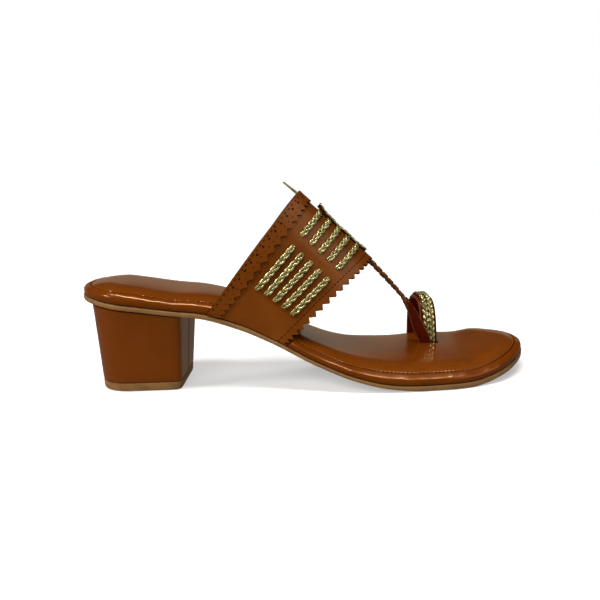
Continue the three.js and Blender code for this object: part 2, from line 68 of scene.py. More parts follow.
def portrait_camera():
    level = math.cos(ELEVATION)
    back = np.array([math.sin(AZIMUTH) * level, -math.cos(AZIMUTH) * level, math.sin(ELEVATION)])
    right = unit(np.cross(-back, [0, 0, 1]))
    up = np.cross(right, -back)
    rolled_right = math.cos(ROLL) * right + math.sin(ROLL) * up
    rolled_up = math.cos(ROLL) * up - math.sin(ROLL) * right
    camera = bpy.data.objects.new("portrait_camera", bpy.data.cameras.new("portrait_camera"))
    bpy.context.scene.collection.objects.link(camera)
    turn = Matrix([rolled_right, rolled_up, back]).transposed().to_4x4()
    camera.matrix_world = Matrix.Translation(Vector((AIM + back * DISTANCE) * MM)) @ turn
    camera.data.lens = LENS
    camera.data.clip_start = NEAREST
    bpy.context.scene.camera = camera
    return camera


print("camera stands at", [round(v, 3) for v in portrait_camera().matrix_world.translation])

# %% [markdown]
# ## Shader sums
# Node trees get long when each Math node is made by hand. A small class that wraps one socket
# lets a formula be written as a formula: adding two wires adds a Math node. Any other node comes
# from `Wire.make`, which sets the node's own settings first and its sockets after.

# %% A socket that can be used in sums


class Wire:
    """One output socket. Sums of numbers become Math nodes, and sums of vectors Vector Math."""

    def __init__(self, socket):
        self.socket = socket

    @staticmethod
    def make(tree, kind, settings=None, sockets=None, out=0):
        """A new node with these settings and sockets; returns the wire of one output, if it has any."""
        node = tree.nodes.new(kind)
        for name, value in (settings or {}).items():
            setattr(node, name, value)
        for name, value in (sockets or {}).items():
            Wire.plug(tree, value, node.inputs[name])
        return Wire(node.outputs[out]) if node.outputs else None

    @staticmethod
    def plug(tree, value, socket):
        """Links a wire, or a whole list of wires, or sets a plain value."""
        if isinstance(value, (Wire, list)):
            for wire in value if isinstance(value, list) else [value]:
                tree.links.new(wire.socket, socket)
        else:
            socket.default_value = value

    def beside(self, name):
        """Another output of the same node."""
        return Wire(self.socket.node.outputs[name])

    def sum(self, operation, first, second):
        tree = self.socket.id_data
        vectors = [isinstance(v, Wire) and v.socket.type == "VECTOR" for v in (first, second)]
        settings = {"operation": operation}
        if not any(vectors):
            return Wire.make(tree, "ShaderNodeMath", settings, {0: first, 1: second})
        if all(vectors):
            return Wire.make(tree, "ShaderNodeVectorMath", settings, {0: first, 1: second})
        vector, scale = (first, second) if vectors[0] else (second, first)
        sockets = {0: vector, "Scale": scale}
        return Wire.make(tree, "ShaderNodeVectorMath", {"operation": "SCALE"}, sockets)

    def __add__(self, other):
        return self.sum("ADD", self, other)

    def __radd__(self, other):
        return self.sum("ADD", other, self)

    def __sub__(self, other):
        return self.sum("SUBTRACT", self, other)

    def __rsub__(self, other):
        return self.sum("SUBTRACT", other, self)

    def __mul__(self, other):
        return self.sum("MULTIPLY", self, other)

    def __rmul__(self, other):
        return self.sum("MULTIPLY", other, self)

    def __truediv__(self, other):
        return self.sum("DIVIDE", self, other)

    def __rtruediv__(self, other):
        return self.sum("DIVIDE", other, self)


print("wires: sums, differences, products and quotients")

# %% [markdown]
# ## Studio
# The shoe stands on a pale table in soft light. A long lamp overhead and a small one at the left
# give the leather its sheen, one in front opens up the shadows and one behind keeps the far side
# from going black. The last two are only reflectors: they show in the polish of the band and the
# rim and light nothing else. A sun would be simpler, but its shadows are too hard for a studio.

# %% Lamps
LAMPS = [  # name, place in metres, width and height, watts, lights leather, shows in polish
    ("overhead", (-0.15, -0.22, 1.1), (0.8, 0.06), 16.0, True, True),
    ("left", (-1.05, -0.45, 0.85), (0.3, 0.3), 11.0, True, True),
    ("front", (-0.5, -1.3, 0.7), (0.9, 0.9), 13.4, True, False),
    ("back", (0.5, 0.9, 0.9), (0.8, 0.5), 8.0, True, False),
    ("reflector", (0.95, -0.62, 0.8), (0.7, 0.7), 4.5, False, True),
    ("strip", (0.44, -0.22, 1.1), (0.36, 0.04), 4.0, False, True),
]
LAMP_AIM = Vector((0, 0, 0.03))


def lamp(name, place, size, power, lights, mirrored):
    data = bpy.data.lights.new(name, "AREA")
    data.shape = "RECTANGLE"
    data.size, data.size_y = size
    data.energy = power
    light = bpy.data.objects.new(name, data)
    bpy.context.scene.collection.objects.link(light)
    light.visible_diffuse = lights
    light.visible_glossy = mirrored
    light.location = place
    light.rotation_euler = (LAMP_AIM - Vector(place)).to_track_quat("-Z", "Y").to_euler()


for row in LAMPS:
    lamp(*row)
print("lamps:", [row[0] for row in LAMPS])

# %% [markdown]
# ## Table and room
# The table is paper: it fades out away from the shoe, so that no horizon shows. The world is white
# where the camera looks at it. Polish mirrors something else: a warm pale backdrop up to a little
# above the horizon, and a dark ceiling over it, which is what gives glossy leather its clear border
# between a grey sheen and its own brown. An image of a studio could do the same, but two colours
# and a soft step between them are enough.

# %% Paper table
FLOOR_WHITE = (0.9, 0.9, 0.89, 1)
FLOOR_ROUGH, FLOOR_SHINE = 0.9, 0.1
FLOOR_REACH, FLOOR_LEVEL = 0.6, -0.0002  # metres; it lies a hair under the sole
FLOOR_SOLID, FLOOR_GONE = 0.2, 0.5  # metres from the shoe's middle, where it fades and where it is gone
FLOOR_ALPHA = 0.6  # how solid it is before that


def start_finish(name, **numbers):
    """A new material whose shader has these numbers all over; returns it, its tree and place."""
    material = bpy.data.materials.new(name)
    material.use_nodes = True
    tree = material.node_tree
    for socket, value in numbers.items():
        tree.nodes["Principled BSDF"].inputs[socket.replace("_", " ")].default_value = value
    place = Wire.make(tree, "ShaderNodeTexCoord", out="Object")
    return material, tree, place


def feed(tree, **wires):
    for socket, wire in wires.items():
        Wire.plug(tree, wire, tree.nodes["Principled BSDF"].inputs[socket.replace("_", " ")])


def soft_step(tree, value, low, high, before=0.0, after=1.0):
    """One value below low and another above high, with a soft change between them."""
    sockets = {"Value": value, "From Min": low, "From Max": high, "To Min": before, "To Max": after}
    return Wire.make(tree, "ShaderNodeMapRange", {"interpolation_type": "SMOOTHSTEP"}, sockets)


def studio_floor():
    paper, tree, place = start_finish(
        "studio_paper", Base_Color=FLOOR_WHITE, Roughness=FLOOR_ROUGH, Specular_IOR_Level=FLOOR_SHINE
    )
    away = Wire.make(tree, "ShaderNodeVectorMath", {"operation": "LENGTH"}, {0: place}, out="Value")
    feed(tree, Alpha=soft_step(tree, away, FLOOR_SOLID, FLOOR_GONE, FLOOR_ALPHA, 0.0))
    mesh = bpy.data.meshes.new("studio_floor")
    corners = [(-FLOOR_REACH, -FLOOR_REACH), (FLOOR_REACH, -FLOOR_REACH)]
    corners += [(FLOOR_REACH, FLOOR_REACH), (-FLOOR_REACH, FLOOR_REACH)]
    mesh.from_pydata([(x, y, FLOOR_LEVEL) for x, y in corners], [], [(0, 1, 2, 3)])
    mesh.materials.append(paper)
    floor = bpy.data.objects.new("studio_floor", mesh)
    bpy.context.scene.collection.objects.link(floor)
    floor.visible_glossy = False


studio_floor()
print("table reaches", FLOOR_REACH, "metres each way")

# %% World
WHITE = (1, 1, 1, 1)
ROOM_GREY = (0.135, 0.12, 0.1, 1)
BACKDROP, CEILING = (0.26, 0.215, 0.155, 1), (0.02, 0.015, 0.01, 1)
BACKDROP_TOP, CEILING_FROM = 0.23, 0.31  # sines of the angle above the horizon


def blend(tree, share, first, second):
    sockets = {0: share, 6: first, 7: second}  # the numbers of the colour sockets
    return Wire.make(tree, "ShaderNodeMix", {"data_type": "RGBA"}, sockets, out=2)


def studio_world():
    world = bpy.data.worlds.new("studio")
    bpy.context.scene.world = world
    world.use_nodes = True
    tree = world.node_tree
    seen = Wire.make(tree, "ShaderNodeLightPath", out="Is Camera Ray")
    polish = seen.beside("Is Glossy Ray")
    toward = Wire.make(tree, "ShaderNodeTexCoord", out="Generated")
    up = Wire.make(tree, "ShaderNodeSeparateXYZ", None, {0: toward}, out="Z")
    high = soft_step(tree, up, BACKDROP_TOP, CEILING_FROM)
    room = blend(tree, polish, ROOM_GREY, blend(tree, high, BACKDROP, CEILING))
    colour = blend(tree, seen, room, WHITE)
    Wire.plug(tree, colour, tree.nodes["Background"].inputs["Color"])


studio_world()
bpy.context.scene.view_settings.view_transform = "Standard"
print("world:", bpy.context.scene.world.name)

# %% [markdown]
# ## Finishes
# The sandal has five finishes: smooth brown leather with a polish, the duller lining inside the
# band, the tan sole, gold leather cord and brown thread. Leather could be painted from a photo,
# but noise is enough here: slow clouds for the dye, fine cells for the grain, and a coat for the
# polish. All of it is read in object coordinates, which are metres on every piece.

# %% Finish helpers


def noise(tree, place, size, detail):
    """Cloudy values whose patches are about "size" millimetres across."""
    sockets = {"Vector": place, "Scale": 1 / (size * MM), "Detail": detail}
    return Wire.make(tree, "ShaderNodeTexNoise", {"noise_dimensions": "3D"}, sockets)


def ramp(tree, value, low, high):
    """0 below low, 1 above high."""
    sockets = {"Value": value, "From Min": low, "From Max": high}
    return Wire.make(tree, "ShaderNodeMapRange", {"clamp": True}, sockets)


def bump(tree, height, depth):
    """A bump whose full height is "depth" millimetres."""
    sockets = {"Height": height, "Distance": depth * MM, "Strength": 1.0}
    return Wire.make(tree, "ShaderNodeBump", None, sockets)


print("finish helpers: noise, ramp, bump")

# %% Leather
WARM = (1, 0.5, 0.2, 1)  # oiled leather tints what it reflects head on
COAT_ROUGH, COAT_IOR = 0.06, 1.45
CLOUD, PORE, WRINKLE = 14, 0.55, 1.3  # how wide these are in leather, in millimetres


def leather(name, deep, pale, gloss, coat, grain, shine=0.35):
    """Polished leather. "gloss" is the roughness, and "grain" the depth of the cells in mm."""
    numbers = {"Coat_Weight": coat, "Coat_Roughness": COAT_ROUGH, "Coat_IOR": COAT_IOR}
    material, tree, place = start_finish(name, Specular_IOR_Level=shine, Specular_Tint=WARM, **numbers)
    clouds = noise(tree, place, CLOUD, 3)
    sockets = {"Vector": place, "Scale": 1 / (PORE * MM)}
    pores = Wire.make(tree, "ShaderNodeTexVoronoi", {"feature": "F1"}, sockets)
    wrinkle = noise(tree, place, WRINKLE, 4)
    dye = ramp(tree, clouds, 0.35, 0.68) * 0.8 + pores * 0.2
    rough = gloss + 0.1 * (clouds - 0.5) + 0.05 * (wrinkle - 0.5)
    feed(tree, Base_Color=blend(tree, dye, (*deep, 1), (*pale, 1)), Roughness=rough)
    if grain:
        feed(tree, Normal=bump(tree, pores * 0.6 + wrinkle * 0.4, grain))
    return material


BAND_LEATHER = leather("band_leather", (0.078, 0.018, 0.001), (0.1, 0.0238, 0.0015), 0.36, 0.05, 0.02)
RIM_LEATHER = leather("rim_leather", (0.08, 0.016, 0.0), (0.097, 0.02, 0.001), 0.22, 0.13, 0.01)
INSOLE_LEATHER = leather("pad_leather", (0.094, 0.0195, 0.0), (0.11, 0.024, 0.001), 0.25, 1.0, 0.0)
HEEL_LEATHER = leather("heel_cover_leather", (0.098, 0.0195, 0.0), (0.11, 0.0225, 0.0), 0.34, 0.12, 0.006)
# The toe ring and thong strap leather is made darker than the plait on the same thong, to paint the shade
# that lies on them.
THONG_LEATHER_WITH_SHADE = leather(
    "thong_leather_with_painted_shade", (0.04, 0.002, 0.0005), (0.055, 0.0035, 0.001), 0.4, 0.03, 0.02, shine=0.15
)
# Paler cut edges of the straps: partly the raw leather, partly a painted highlight along the edges.
STRAP_EDGE_AND_HIGHLIGHT = leather("strap_edge_and_painted_highlight", (0.085, 0.021, 0.006), (0.12, 0.035, 0.012), 0.5, 0.0, 0.02)
# The plait is a lighter copy of the thong leather, which paints the light on its strands.
PLAIT_LEATHER_WITH_LIGHT = leather("plait_leather_with_painted_light", (0.05, 0.014, 0.004), (0.11, 0.036, 0.013), 0.4, 0.05, 0.02)
LINING_LEATHER = leather(
    "lining_leather", (0.03, 0.003, 0.001), (0.05, 0.006, 0.002), 0.55, 0.0, 0.02, shine=0.2
)
# Dark edge dye, darkened further to paint shade: the shadows along the pinked teeth, inside the punched
# holes and under the ridge braid.
EDGE_DYE_AND_SHADE = leather("edge_dye_and_painted_shade", (0.02, 0.005, 0.001), (0.035, 0.009, 0.002), 0.6, 0.0, 0.02, shine=0.1)
print("nine leathers, from", BAND_LEATHER.name, "to", EDGE_DYE_AND_SHADE.name)

# %% Sole, gold and thread
LAYER, DUST, SPECKLE = 0.5, 6, 0.35  # how wide these are in soling, in millimetres
LAYER_FLAT = (0.06, 0.06, 1)  # draws a layer out along the sole and keeps its thickness
FOIL, CRACKLE = 2.2, 0.4  # in gold
TWIST = 0.25  # in thread


def sole_rubber(name, deep, pale):
    """Tan soling with fine layers along its edge and a dusty, dull surface."""
    material, tree, place = start_finish(name)
    flat = Wire.make(tree, "ShaderNodeMapping", None, {"Vector": place, "Scale": LAYER_FLAT})
    layers = noise(tree, flat, LAYER, 2)
    dust = noise(tree, place, DUST, 4)
    speckle = noise(tree, place, SPECKLE, 1)
    tone = layers * 0.35 + dust * 0.5 + speckle * 0.15
    feed(tree, Base_Color=blend(tree, ramp(tree, tone, 0.36, 0.64), (*deep, 1), (*pale, 1)))
    feed(tree, Roughness=0.5 + 0.25 * dust, Normal=bump(tree, layers * 0.6 + speckle * 0.4, 0.06))
    return material


def gold_leather(name, olive, bright):
    """Metallic foil on cord: bright where it is smooth, olive where the foil is thin."""
    material, tree, place = start_finish(name, Metallic=0.5, Coat_Weight=0.5, Coat_Roughness=0.16)
    foil = noise(tree, place, FOIL, 3)
    crackle = noise(tree, place, CRACKLE, 2)
    whole = ramp(tree, foil * 0.6 + crackle * 0.4, 0.42, 0.62)
    feed(tree, Base_Color=blend(tree, whole, (*olive, 1), (*bright, 1)))
    feed(tree, Roughness=0.34 - 0.1 * whole, Normal=bump(tree, crackle, 0.02))
    return material


def thread(name, dark, gleam):
    """Dull thread: a fine twist along it is only a ripple in the light."""
    material, tree, place = start_finish(name, Specular_IOR_Level=0.0)
    twist = noise(tree, place, TWIST, 1)
    feed(tree, Base_Color=blend(tree, twist, (*dark, 1), (*gleam, 1)), Roughness=0.8 + 0.15 * twist)
    feed(tree, Normal=bump(tree, twist, 0.05))
    return material


SOLE = sole_rubber("tan_sole", (0.115, 0.048, 0.007), (0.19, 0.09, 0.018))
GOLD = gold_leather("gold_cord", (0.116, 0.098, 0.024), (0.37, 0.315, 0.115))
BROWN_THREAD = thread("brown_thread", (0.012, 0.003, 0.0007), (0.026, 0.0065, 0.0013))
RIM_THREAD = thread("rim_thread", (0.075, 0.016, 0.002), (0.16, 0.044, 0.008))
print("other finishes:", [m.name for m in (SOLE, GOLD, BROWN_THREAD, RIM_THREAD)])

# %% [markdown]
# ## The sole's lines
# A shoemaker draws the sole twice: its outline in plan, and its side profile with the heel seat,
# arch, tread line and toe spring. The same short tables that the solids come from give the smooth
# pieces here, so nothing has to be fitted. A curve through a table may overshoot its rows; this
# one doesn't, because its slope is zero wherever the rows turn back.

# %% Tables of the sole
LENGTH = 239.2  # heel back to toe tip, in plan
GLUE = 0.3  # glue line between neighbouring pieces
STATIONS = 160  # steps along each side
OUTLINE_TURN = np.linspace(0, 1, 11)  # a cosine spreads these along the length
OUTLINE_MEDIAL = [-6.2, 9.4, 20.2, 21.2, 17.4, 18.6, 33.6, 42.4, 40.6, 24.6, 4.4]
OUTLINE_LATERAL = [-6.2, -23.2, -33.0, -33.9, -33.0, -37.8, -42.4, -40.9, -32.2, -15.6, 4.4]
# The profile: place along the sole, height of the underside, outsole, and footbed with its pad.
PROFILE_ALONG = [0, 22, 49, 63, 82, 102, 122, 142, 162, 178, 203, 222, LENGTH]
PROFILE_UNDER = [48.8, 45.8, 42.0, 40.0, 33.8, 24.9, 14.4, 6.2, 1.4, 0, 0, 3.2, 8.0]
PROFILE_SOLE = [2.4, 2.4, 2.4, 2.5, 2.6, 2.2, 1.9, 1.9, 2.1, 2.6, 2.8, 2.8, 2.8]
PROFILE_BED = [6.5, 8.7, 7.6, 8.3, 10.0, 9.2, 8.3, 8.7, 9.8, 9.8, 9.2, 9.5, 8.5]


def column(places, values):
    """A smooth curve through a table's column, which never passes its own rows."""
    x, y = np.array(places, float), np.array(values, float)
    steps = np.diff(y) / np.diff(x)
    before, after = np.append(steps[0], steps), np.append(steps, steps[-1])
    total = np.where(before + after == 0, 1, before + after)
    slopes = np.where(before * after > 0, 2 * before * after / total, 0)

    def read(p):
        i = np.clip(np.searchsorted(x, p, side="right") - 1, 0, len(x) - 2)
        h = x[i + 1] - x[i]
        t = np.clip((p - x[i]) / h, 0, 1)
        ease = t * t * (3 - 2 * t)
        bend = slopes[i] * t * (1 - t) ** 2 + slopes[i + 1] * t * t * (t - 1)
        return y[i] + (y[i + 1] - y[i]) * ease + h * bend

    return read


medial_edge = column(OUTLINE_TURN, OUTLINE_MEDIAL)
lateral_edge = column(OUTLINE_TURN, OUTLINE_LATERAL)
underside = column(PROFILE_ALONG, PROFILE_UNDER)
sole_thick = column(PROFILE_ALONG, PROFILE_SOLE)
bed_thick = column(PROFILE_ALONG, PROFILE_BED)


def along(x):
    return x + LENGTH / 2


def footbed_base(a):
    return underside(a) + sole_thick(a) + GLUE


print("ball width:", round(max(OUTLINE_MEDIAL) - min(OUTLINE_LATERAL), 1), "heel height:", PROFILE_UNDER[0])

# %% Rings round the sole


def outline_points(path):
    """Plan points: path 0 to 1 runs up the medial side, 1 to 2 back along the lateral side."""
    turn = np.where(path <= 1, path, 2 - path)
    y = np.where(path <= 1, medial_edge(turn), lateral_edge(turn))
    return np.stack([-LENGTH / 2 * np.cos(np.pi * turn), y], axis=-1)


def inset_points(path, inset):
    nudge = 0.004
    tangent = unit(outline_points((path + nudge) % 2) - outline_points((path - nudge) % 2))
    inward = np.stack([tangent[..., 1], -tangent[..., 0]], axis=-1)
    return outline_points(path) + inward * inset


RING_PATH = np.arange(2 * STATIONS) / STATIONS


def sole_ring(inset, height):
    """A closed ring round the sole; height is a function of the place along it."""
    plan = inset_points(RING_PATH, inset)
    return np.column_stack([plan, height(along(plan[:, 0]))])


print("ring points:", len(RING_PATH))

# %% Meshes from rings
SHARP = 35  # degrees between two faces, past which their edge stays crisp


def shade(mesh, sharp=SHARP):
    mesh.shade_smooth()
    mesh.set_sharp_from_angle(angle=math.radians(sharp))


def new_piece(name, points, faces, material, sharp=SHARP):
    """A shaded mesh object from millimetre points."""
    mesh = bpy.data.meshes.new(name)
    mesh.from_pydata((np.asarray(points) * MM).tolist(), [], faces)
    mesh.validate()
    shade(mesh, sharp)
    mesh.materials.append(material)
    piece = bpy.data.objects.new(name, mesh)
    bpy.context.scene.collection.objects.link(piece)
    return piece


def stack(rings, across=1, lift=None):
    """Points and faces of a closed solid from rings, lowest first. "lift" domes the top face."""
    count = len(rings[0])
    half = count // 2
    points = [tuple(p) for ring in rings for p in ring]
    faces = []
    for level in range(len(rings) - 1):
        for i in range(count):
            a, b = level * count + i, level * count + (i + 1) % count
            faces.append((a, b, b + count, a + count)[::-1])

    def ladder(first, top, strips):
        rungs = []
        for i in range(half + 1):
            medial, lateral = first + i, first + (count - i) % count
            rung = [medial]
            for k in range(1, strips):
                p = np.array(points[medial]) + (np.array(points[lateral]) - points[medial]) * k / strips
                p[2] += lift(p[0], 2 * k / strips - 1) if top and lift else 0
                points.append(tuple(p))
                rung.append(len(points) - 1)
            rungs.append(rung + [lateral] if 0 < i < half else [medial] * (strips + 1))
        for here, ahead in zip(rungs, rungs[1:]):
            for k in range(strips):
                face = [here[k], here[k + 1], ahead[k + 1], ahead[k]]
                face = list(dict.fromkeys(face if top else face[::-1]))
                if len(face) > 2:
                    faces.append(tuple(face))

    ladder(0, False, 1)
    ladder((len(rings) - 1) * count, True, across)
    return np.array(points), faces


def dress(piece, slot, *nodes):
    """The piece rides with the sandal and stands for those solids; the slot argument is not used."""
    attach(piece, "root")
    if nodes:
        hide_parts(*nodes)
    print(piece.name, "has", len(piece.data.polygons), "faces")
    return piece


print("mesh helpers: shade, new_piece, stack, dress")

# %% [markdown]
# ## Outsole and heel
# The outsole is a flat strip of tan soling, cut to the outline and pressed to the last's profile.
# The heel is a block wrapped in leather, whose two edges meet in a seam on the breast, and its
# top piece is of the same soling. All of them are rings stacked on each other: subdividing a box
# would round the corners, while rings keep the real edges and their small bevels.

# %% Outsole
OUTSOLE_ROWS = [  # inset from the outline, share of the thickness
    (1.0, 0), (0.55, 0.03), (0.2, 0.12), (0.02, 0.27), (0, 0.5), (0, 0.8), (0.03, 0.92),
    (0.12, 0.98), (0.3, 1),
]


def outsole():
    rings = []
    for inset, up in OUTSOLE_ROWS:
        rings.append(sole_ring(inset, lambda a: underside(a) + sole_thick(a) * up))
    return new_piece("tan_outsole", *stack(rings), SOLE)


dress(outsole(), "sole", "outsole")

# %% Plan of the heel
# The heel's plan at the floor and at the seat: places along the sole, and half the width.
HEEL_FLOOR = {"back": 8.0, "breast": 52.4, "half": 19.2}
HEEL_SEAT = {"back": 5.6, "breast": 55.2, "half": 25.6}
HEEL_CENTRE = -6.2
HEEL_WIDEST = 0.42  # share of the way from the back to the breast
HEEL_SKEW = 0.085  # the breast leans round towards the medial side
HEEL_BACK_POWER, HEEL_BREAST_POWER = 2.3, 15
HEEL_STEPS = 48  # in each quarter
CORNER_CROWD = 1.6  # how much closer the steps are at the breast's corners
SEAM_HALF = 0.2  # half the width of the seam down the breast


def heel_ring(level, inset, height, seam=0.0):
    """A D-shaped ring: level 0 is the floor and 1 the seat. "seam" is the depth of its seam."""
    size = {k: HEEL_FLOOR[k] + (HEEL_SEAT[k] - HEEL_FLOOR[k]) * level for k in HEEL_FLOOR}
    back, breast, half = size["back"] + inset, size["breast"] - inset, size["half"] - inset
    middle = back + (breast - back) * HEEL_WIDEST
    t = np.linspace(-1, 1, HEEL_STEPS + 1)
    front = np.pi / 4 * (1 + np.sign(t) * np.abs(t) ** CORNER_CROWD)
    quarter = np.pi / 4 * (1 + t)
    angle = np.concatenate([np.pi - quarter[:-1], front[::-1]])
    angle = np.concatenate([angle, -angle[1:-1][::-1]])
    c, s = np.cos(angle), np.sin(angle)
    power = np.where(c < 0, HEEL_BACK_POWER, HEEL_BREAST_POWER)
    radius = (np.abs(c) ** power + np.abs(s) ** power) ** (-1 / power)
    y = radius * s * half
    x = middle + radius * c * np.where(c < 0, middle - back, breast - middle)
    x = x - np.where((c > 0) & (np.abs(y) < SEAM_HALF), seam, 0) + y * HEEL_SKEW - LENGTH / 2
    return np.column_stack([x, HEEL_CENTRE + y, height(along(x))])


print("points round the heel:", len(heel_ring(0, 0, lambda a: 0 * a)))

# %% Heel block and top piece
TOP_PIECE_THICK = 4.6
TOP_PIECE_LEVEL = 0.08  # of its upper face
HEEL_TALL = 45  # height of level 1, at the middle of the seat
HEEL_SEAM_DEPTH = 0.6
COVER_ROWS = [(0.0, 0.5), (0.006, 0.12), (0.02, 0)]  # share of the height, and inset
COVER_ROWS += [(k / 10, 0) for k in range(1, 10)]
COVER_ROWS += [(0.98, 0), (0.987, 0.3), (0.994, 0.9), (1, 1.8)]
LIFT_ROWS = [  # inset, and height
    (0.7, 0), (0.35, 0.08), (0.1, 0.3), (0, 0.7), (0, 2.4), (0, 4.2), (0.1, 4.45), (0.4, 4.6),
]


def heel_cover():
    low = TOP_PIECE_THICK + GLUE
    rings = []
    for share, inset in COVER_ROWS:
        level = low / HEEL_TALL + (1 - low / HEEL_TALL) * share
        rise = lambda a: low + (underside(a) - GLUE - low) * share
        rings.append(heel_ring(level, inset, rise, HEEL_SEAM_DEPTH))
    return new_piece("heel_cover", *stack(rings), HEEL_LEATHER)


def heel_lift():
    rings = []
    for inset, up in LIFT_ROWS:
        rings.append(heel_ring(TOP_PIECE_LEVEL * up / TOP_PIECE_THICK, inset, lambda a: up + 0 * a))
    return new_piece("heel_lift", *stack(rings), SOLE)


dress(heel_cover(), "heel_leather", "heel_block")
dress(heel_lift(), "sole", "heel_top_piece")

# %% [markdown]
# ## Instep band, as a surface
# The band is one wide strap, lasted over the instep like a low tent: its feet stand along the
# sole's edges and its ridge runs down towards the toes. Every other piece up here follows it, so
# it comes first as a function: "across" goes from its back edge to its front edge, and "around"
# from the outer foot over the ridge, at 1, to the inner foot, at 2.

# %% The band's surface
WALL = 2.0  # leather and lining together
BAND_FOOT_BACK, BAND_FOOT_FRONT = 66.8, 105.0  # places along the sole
BAND_MEDIAL_AHEAD = 7.0  # the inner foot stands this much further forward
BAND_EDGE_INSET, BAND_FOOT_UP = 0.6, 0.4  # in from the outline, and up from the outsole
RIDGE_BACK = np.array([-3.6, -1.6, 100.3])
RIDGE_FRONT = np.array([34.4, 0.4, 64.6])
BACK_BOW, FRONT_HOLLOW = 1.2, 1.2  # how far both edges curve between foot and ridge
REACH_POWER, RISE_POWER = 1.15, 1.6  # the arch from foot to ridge, in plan and in height


def band_point(across, around):
    """Points on the band's outer face."""
    across, around = np.broadcast_arrays(np.asarray(across, float), np.asarray(around, float))
    outer = around < 1
    place = BAND_FOOT_BACK + (BAND_FOOT_FRONT - BAND_FOOT_BACK) * across
    place = place + np.where(outer, 0, BAND_MEDIAL_AHEAD)
    turn = np.arccos(np.clip(1 - 2 * place / LENGTH, -1, 1)) / np.pi
    edge = np.where(outer, lateral_edge(turn) + BAND_EDGE_INSET, medial_edge(turn) - BAND_EDGE_INSET)
    foot = np.stack([place - LENGTH / 2, edge, footbed_base(place) + BAND_FOOT_UP], axis=-1)
    ridge = RIDGE_BACK + (RIDGE_FRONT - RIDGE_BACK) * across[..., None]
    angle = around * np.pi / 2
    rise = np.sign(angle * (np.pi - angle)) * np.abs(np.sin(angle)) ** RISE_POWER
    reach = np.abs(np.cos(angle)) ** REACH_POWER
    point = foot + (ridge - foot) * rise[..., None]
    point[..., 1] = ridge[..., 1] + (foot[..., 1] - ridge[..., 1]) * reach
    return point


def band_frame(across, around):
    """Directions on the band: across it, around it and straight out of it."""
    nudge = 0.003
    side = unit(band_point(across + nudge, around) - band_point(across - nudge, around))
    travel = unit(band_point(across, around + nudge) - band_point(across, around - nudge))
    return side, travel, unit(np.cross(side, travel))


def band_offset(across, around, out):
    across, around = np.asarray(across, float), np.asarray(around, float)
    return band_point(across, around) + band_frame(across, around)[2] * np.asarray(out)[..., None]


def band_width(around):
    return np.linalg.norm(band_point(0, around) - band_point(1, around), axis=-1)


def back_edge(around):
    return -BACK_BOW * np.sin(np.pi * around) ** 2 / band_width(around)


def front_edge(around):
    return 1 - FRONT_HOLLOW * np.sin(np.pi * around) ** 2 / band_width(around)


print("band width at the ridge:", round(float(band_width(1.0)), 1))

# %% A shell on that surface
TEETH = 38  # pinked teeth along each edge, foot to foot
TOOTH_DEPTH = 2.4
TOOTH_STEPS = 4  # steps along each slope of a tooth


def tooth(share):
    """A saw of TEETH points over a share from 0 to 1: 0 in the notches, 1 at the points."""
    return 1 - np.abs((share * TEETH) % 1 * 2 - 1)


def band_shell(across, around, inside, outside):
    """Points and faces of a shell; across is a grid of places with a row for each around.
    Faces are listed as outer, inner and edge ones, in that order."""
    rows, columns = across.shape
    spread = np.repeat(around[:, None], columns, axis=1)
    walls = [band_offset(across, spread, out + np.zeros_like(across)) for out in (outside, inside)]
    points = np.concatenate([wall.reshape(-1, 3) for wall in walls])
    outer = np.arange(rows * columns).reshape(rows, columns)
    inner = outer + rows * columns

    def quads(a, b, c, d):
        return np.stack([a, b, c, d], axis=-1).reshape(-1, 4).tolist()

    out = quads(outer[:-1, :-1], outer[:-1, 1:], outer[1:, 1:], outer[1:, :-1])
    lining = quads(inner[:-1, :-1], inner[1:, :-1], inner[1:, 1:], inner[:-1, 1:])
    edges = quads(outer[:-1, 0], outer[1:, 0], inner[1:, 0], inner[:-1, 0])
    edges += quads(outer[:-1, -1], inner[:-1, -1], inner[1:, -1], outer[1:, -1])
    edges += quads(outer[0, :-1], inner[0, :-1], inner[0, 1:], outer[0, 1:])
    edges += quads(outer[-1, :-1], outer[-1, 1:], inner[-1, 1:], inner[-1, :-1])
    kinds = [0] * len(out) + [1] * len(lining) + [2] * len(edges)
    return points, out + lining + edges, kinds


def shell_piece(name, shell, materials):
    points, faces, kinds = shell
    piece = new_piece(name, points, faces, materials[0])
    for material in materials[1:]:
        piece.data.materials.append(material)
    piece.data.polygons.foreach_set("material_index", kinds)
    return piece


print("teeth:", TEETH)

# %% [markdown]
# ## Footbed and insole
# The footbed is wrapped in leather that rolls over its edge, and the padded insole lies in it, so
# that a fine groove shows between the two. The band goes down beside the footbed to the outsole:
# the roll is cut away there with a Boolean, which is quicker than drawing the roll round it. Cloth
# could puff up the pad, but this one is thin, glued down and tight, so rows of heights are enough.

# %% Rings of the footbed
SEAT_ENDS, FOREPART_STARTS = 75, 105  # the forepart's edge is softer than the heel seat's
in_front = column([0, SEAT_ENDS, FOREPART_STARTS, LENGTH], [0, 0, 1, 1])


def bed_height(a, share):
    """Heights in the footbed: 0 is its base and 1 the crown of the pad."""
    return footbed_base(a) + bed_thick(a) * share


def bed_ring(inset, heel, front):
    """A ring at these shares of the footbed's height, in the heel seat and in the forepart."""
    return sole_ring(inset, lambda a: bed_height(a, heel + (front - heel) * in_front(a)))


print("crown of the pad at the heel:", round(float(bed_height(0, 1)), 1))

# %% Knives
UNDER, OVER = -1, 25  # heights that go right through the footbed's forepart
RECESS_PAST, RECESS_OUT = 0.03, 9.0  # beyond the band's feet, and millimetres out from it
RECESS_STEPS, RECESS_COLUMNS = 140, 7


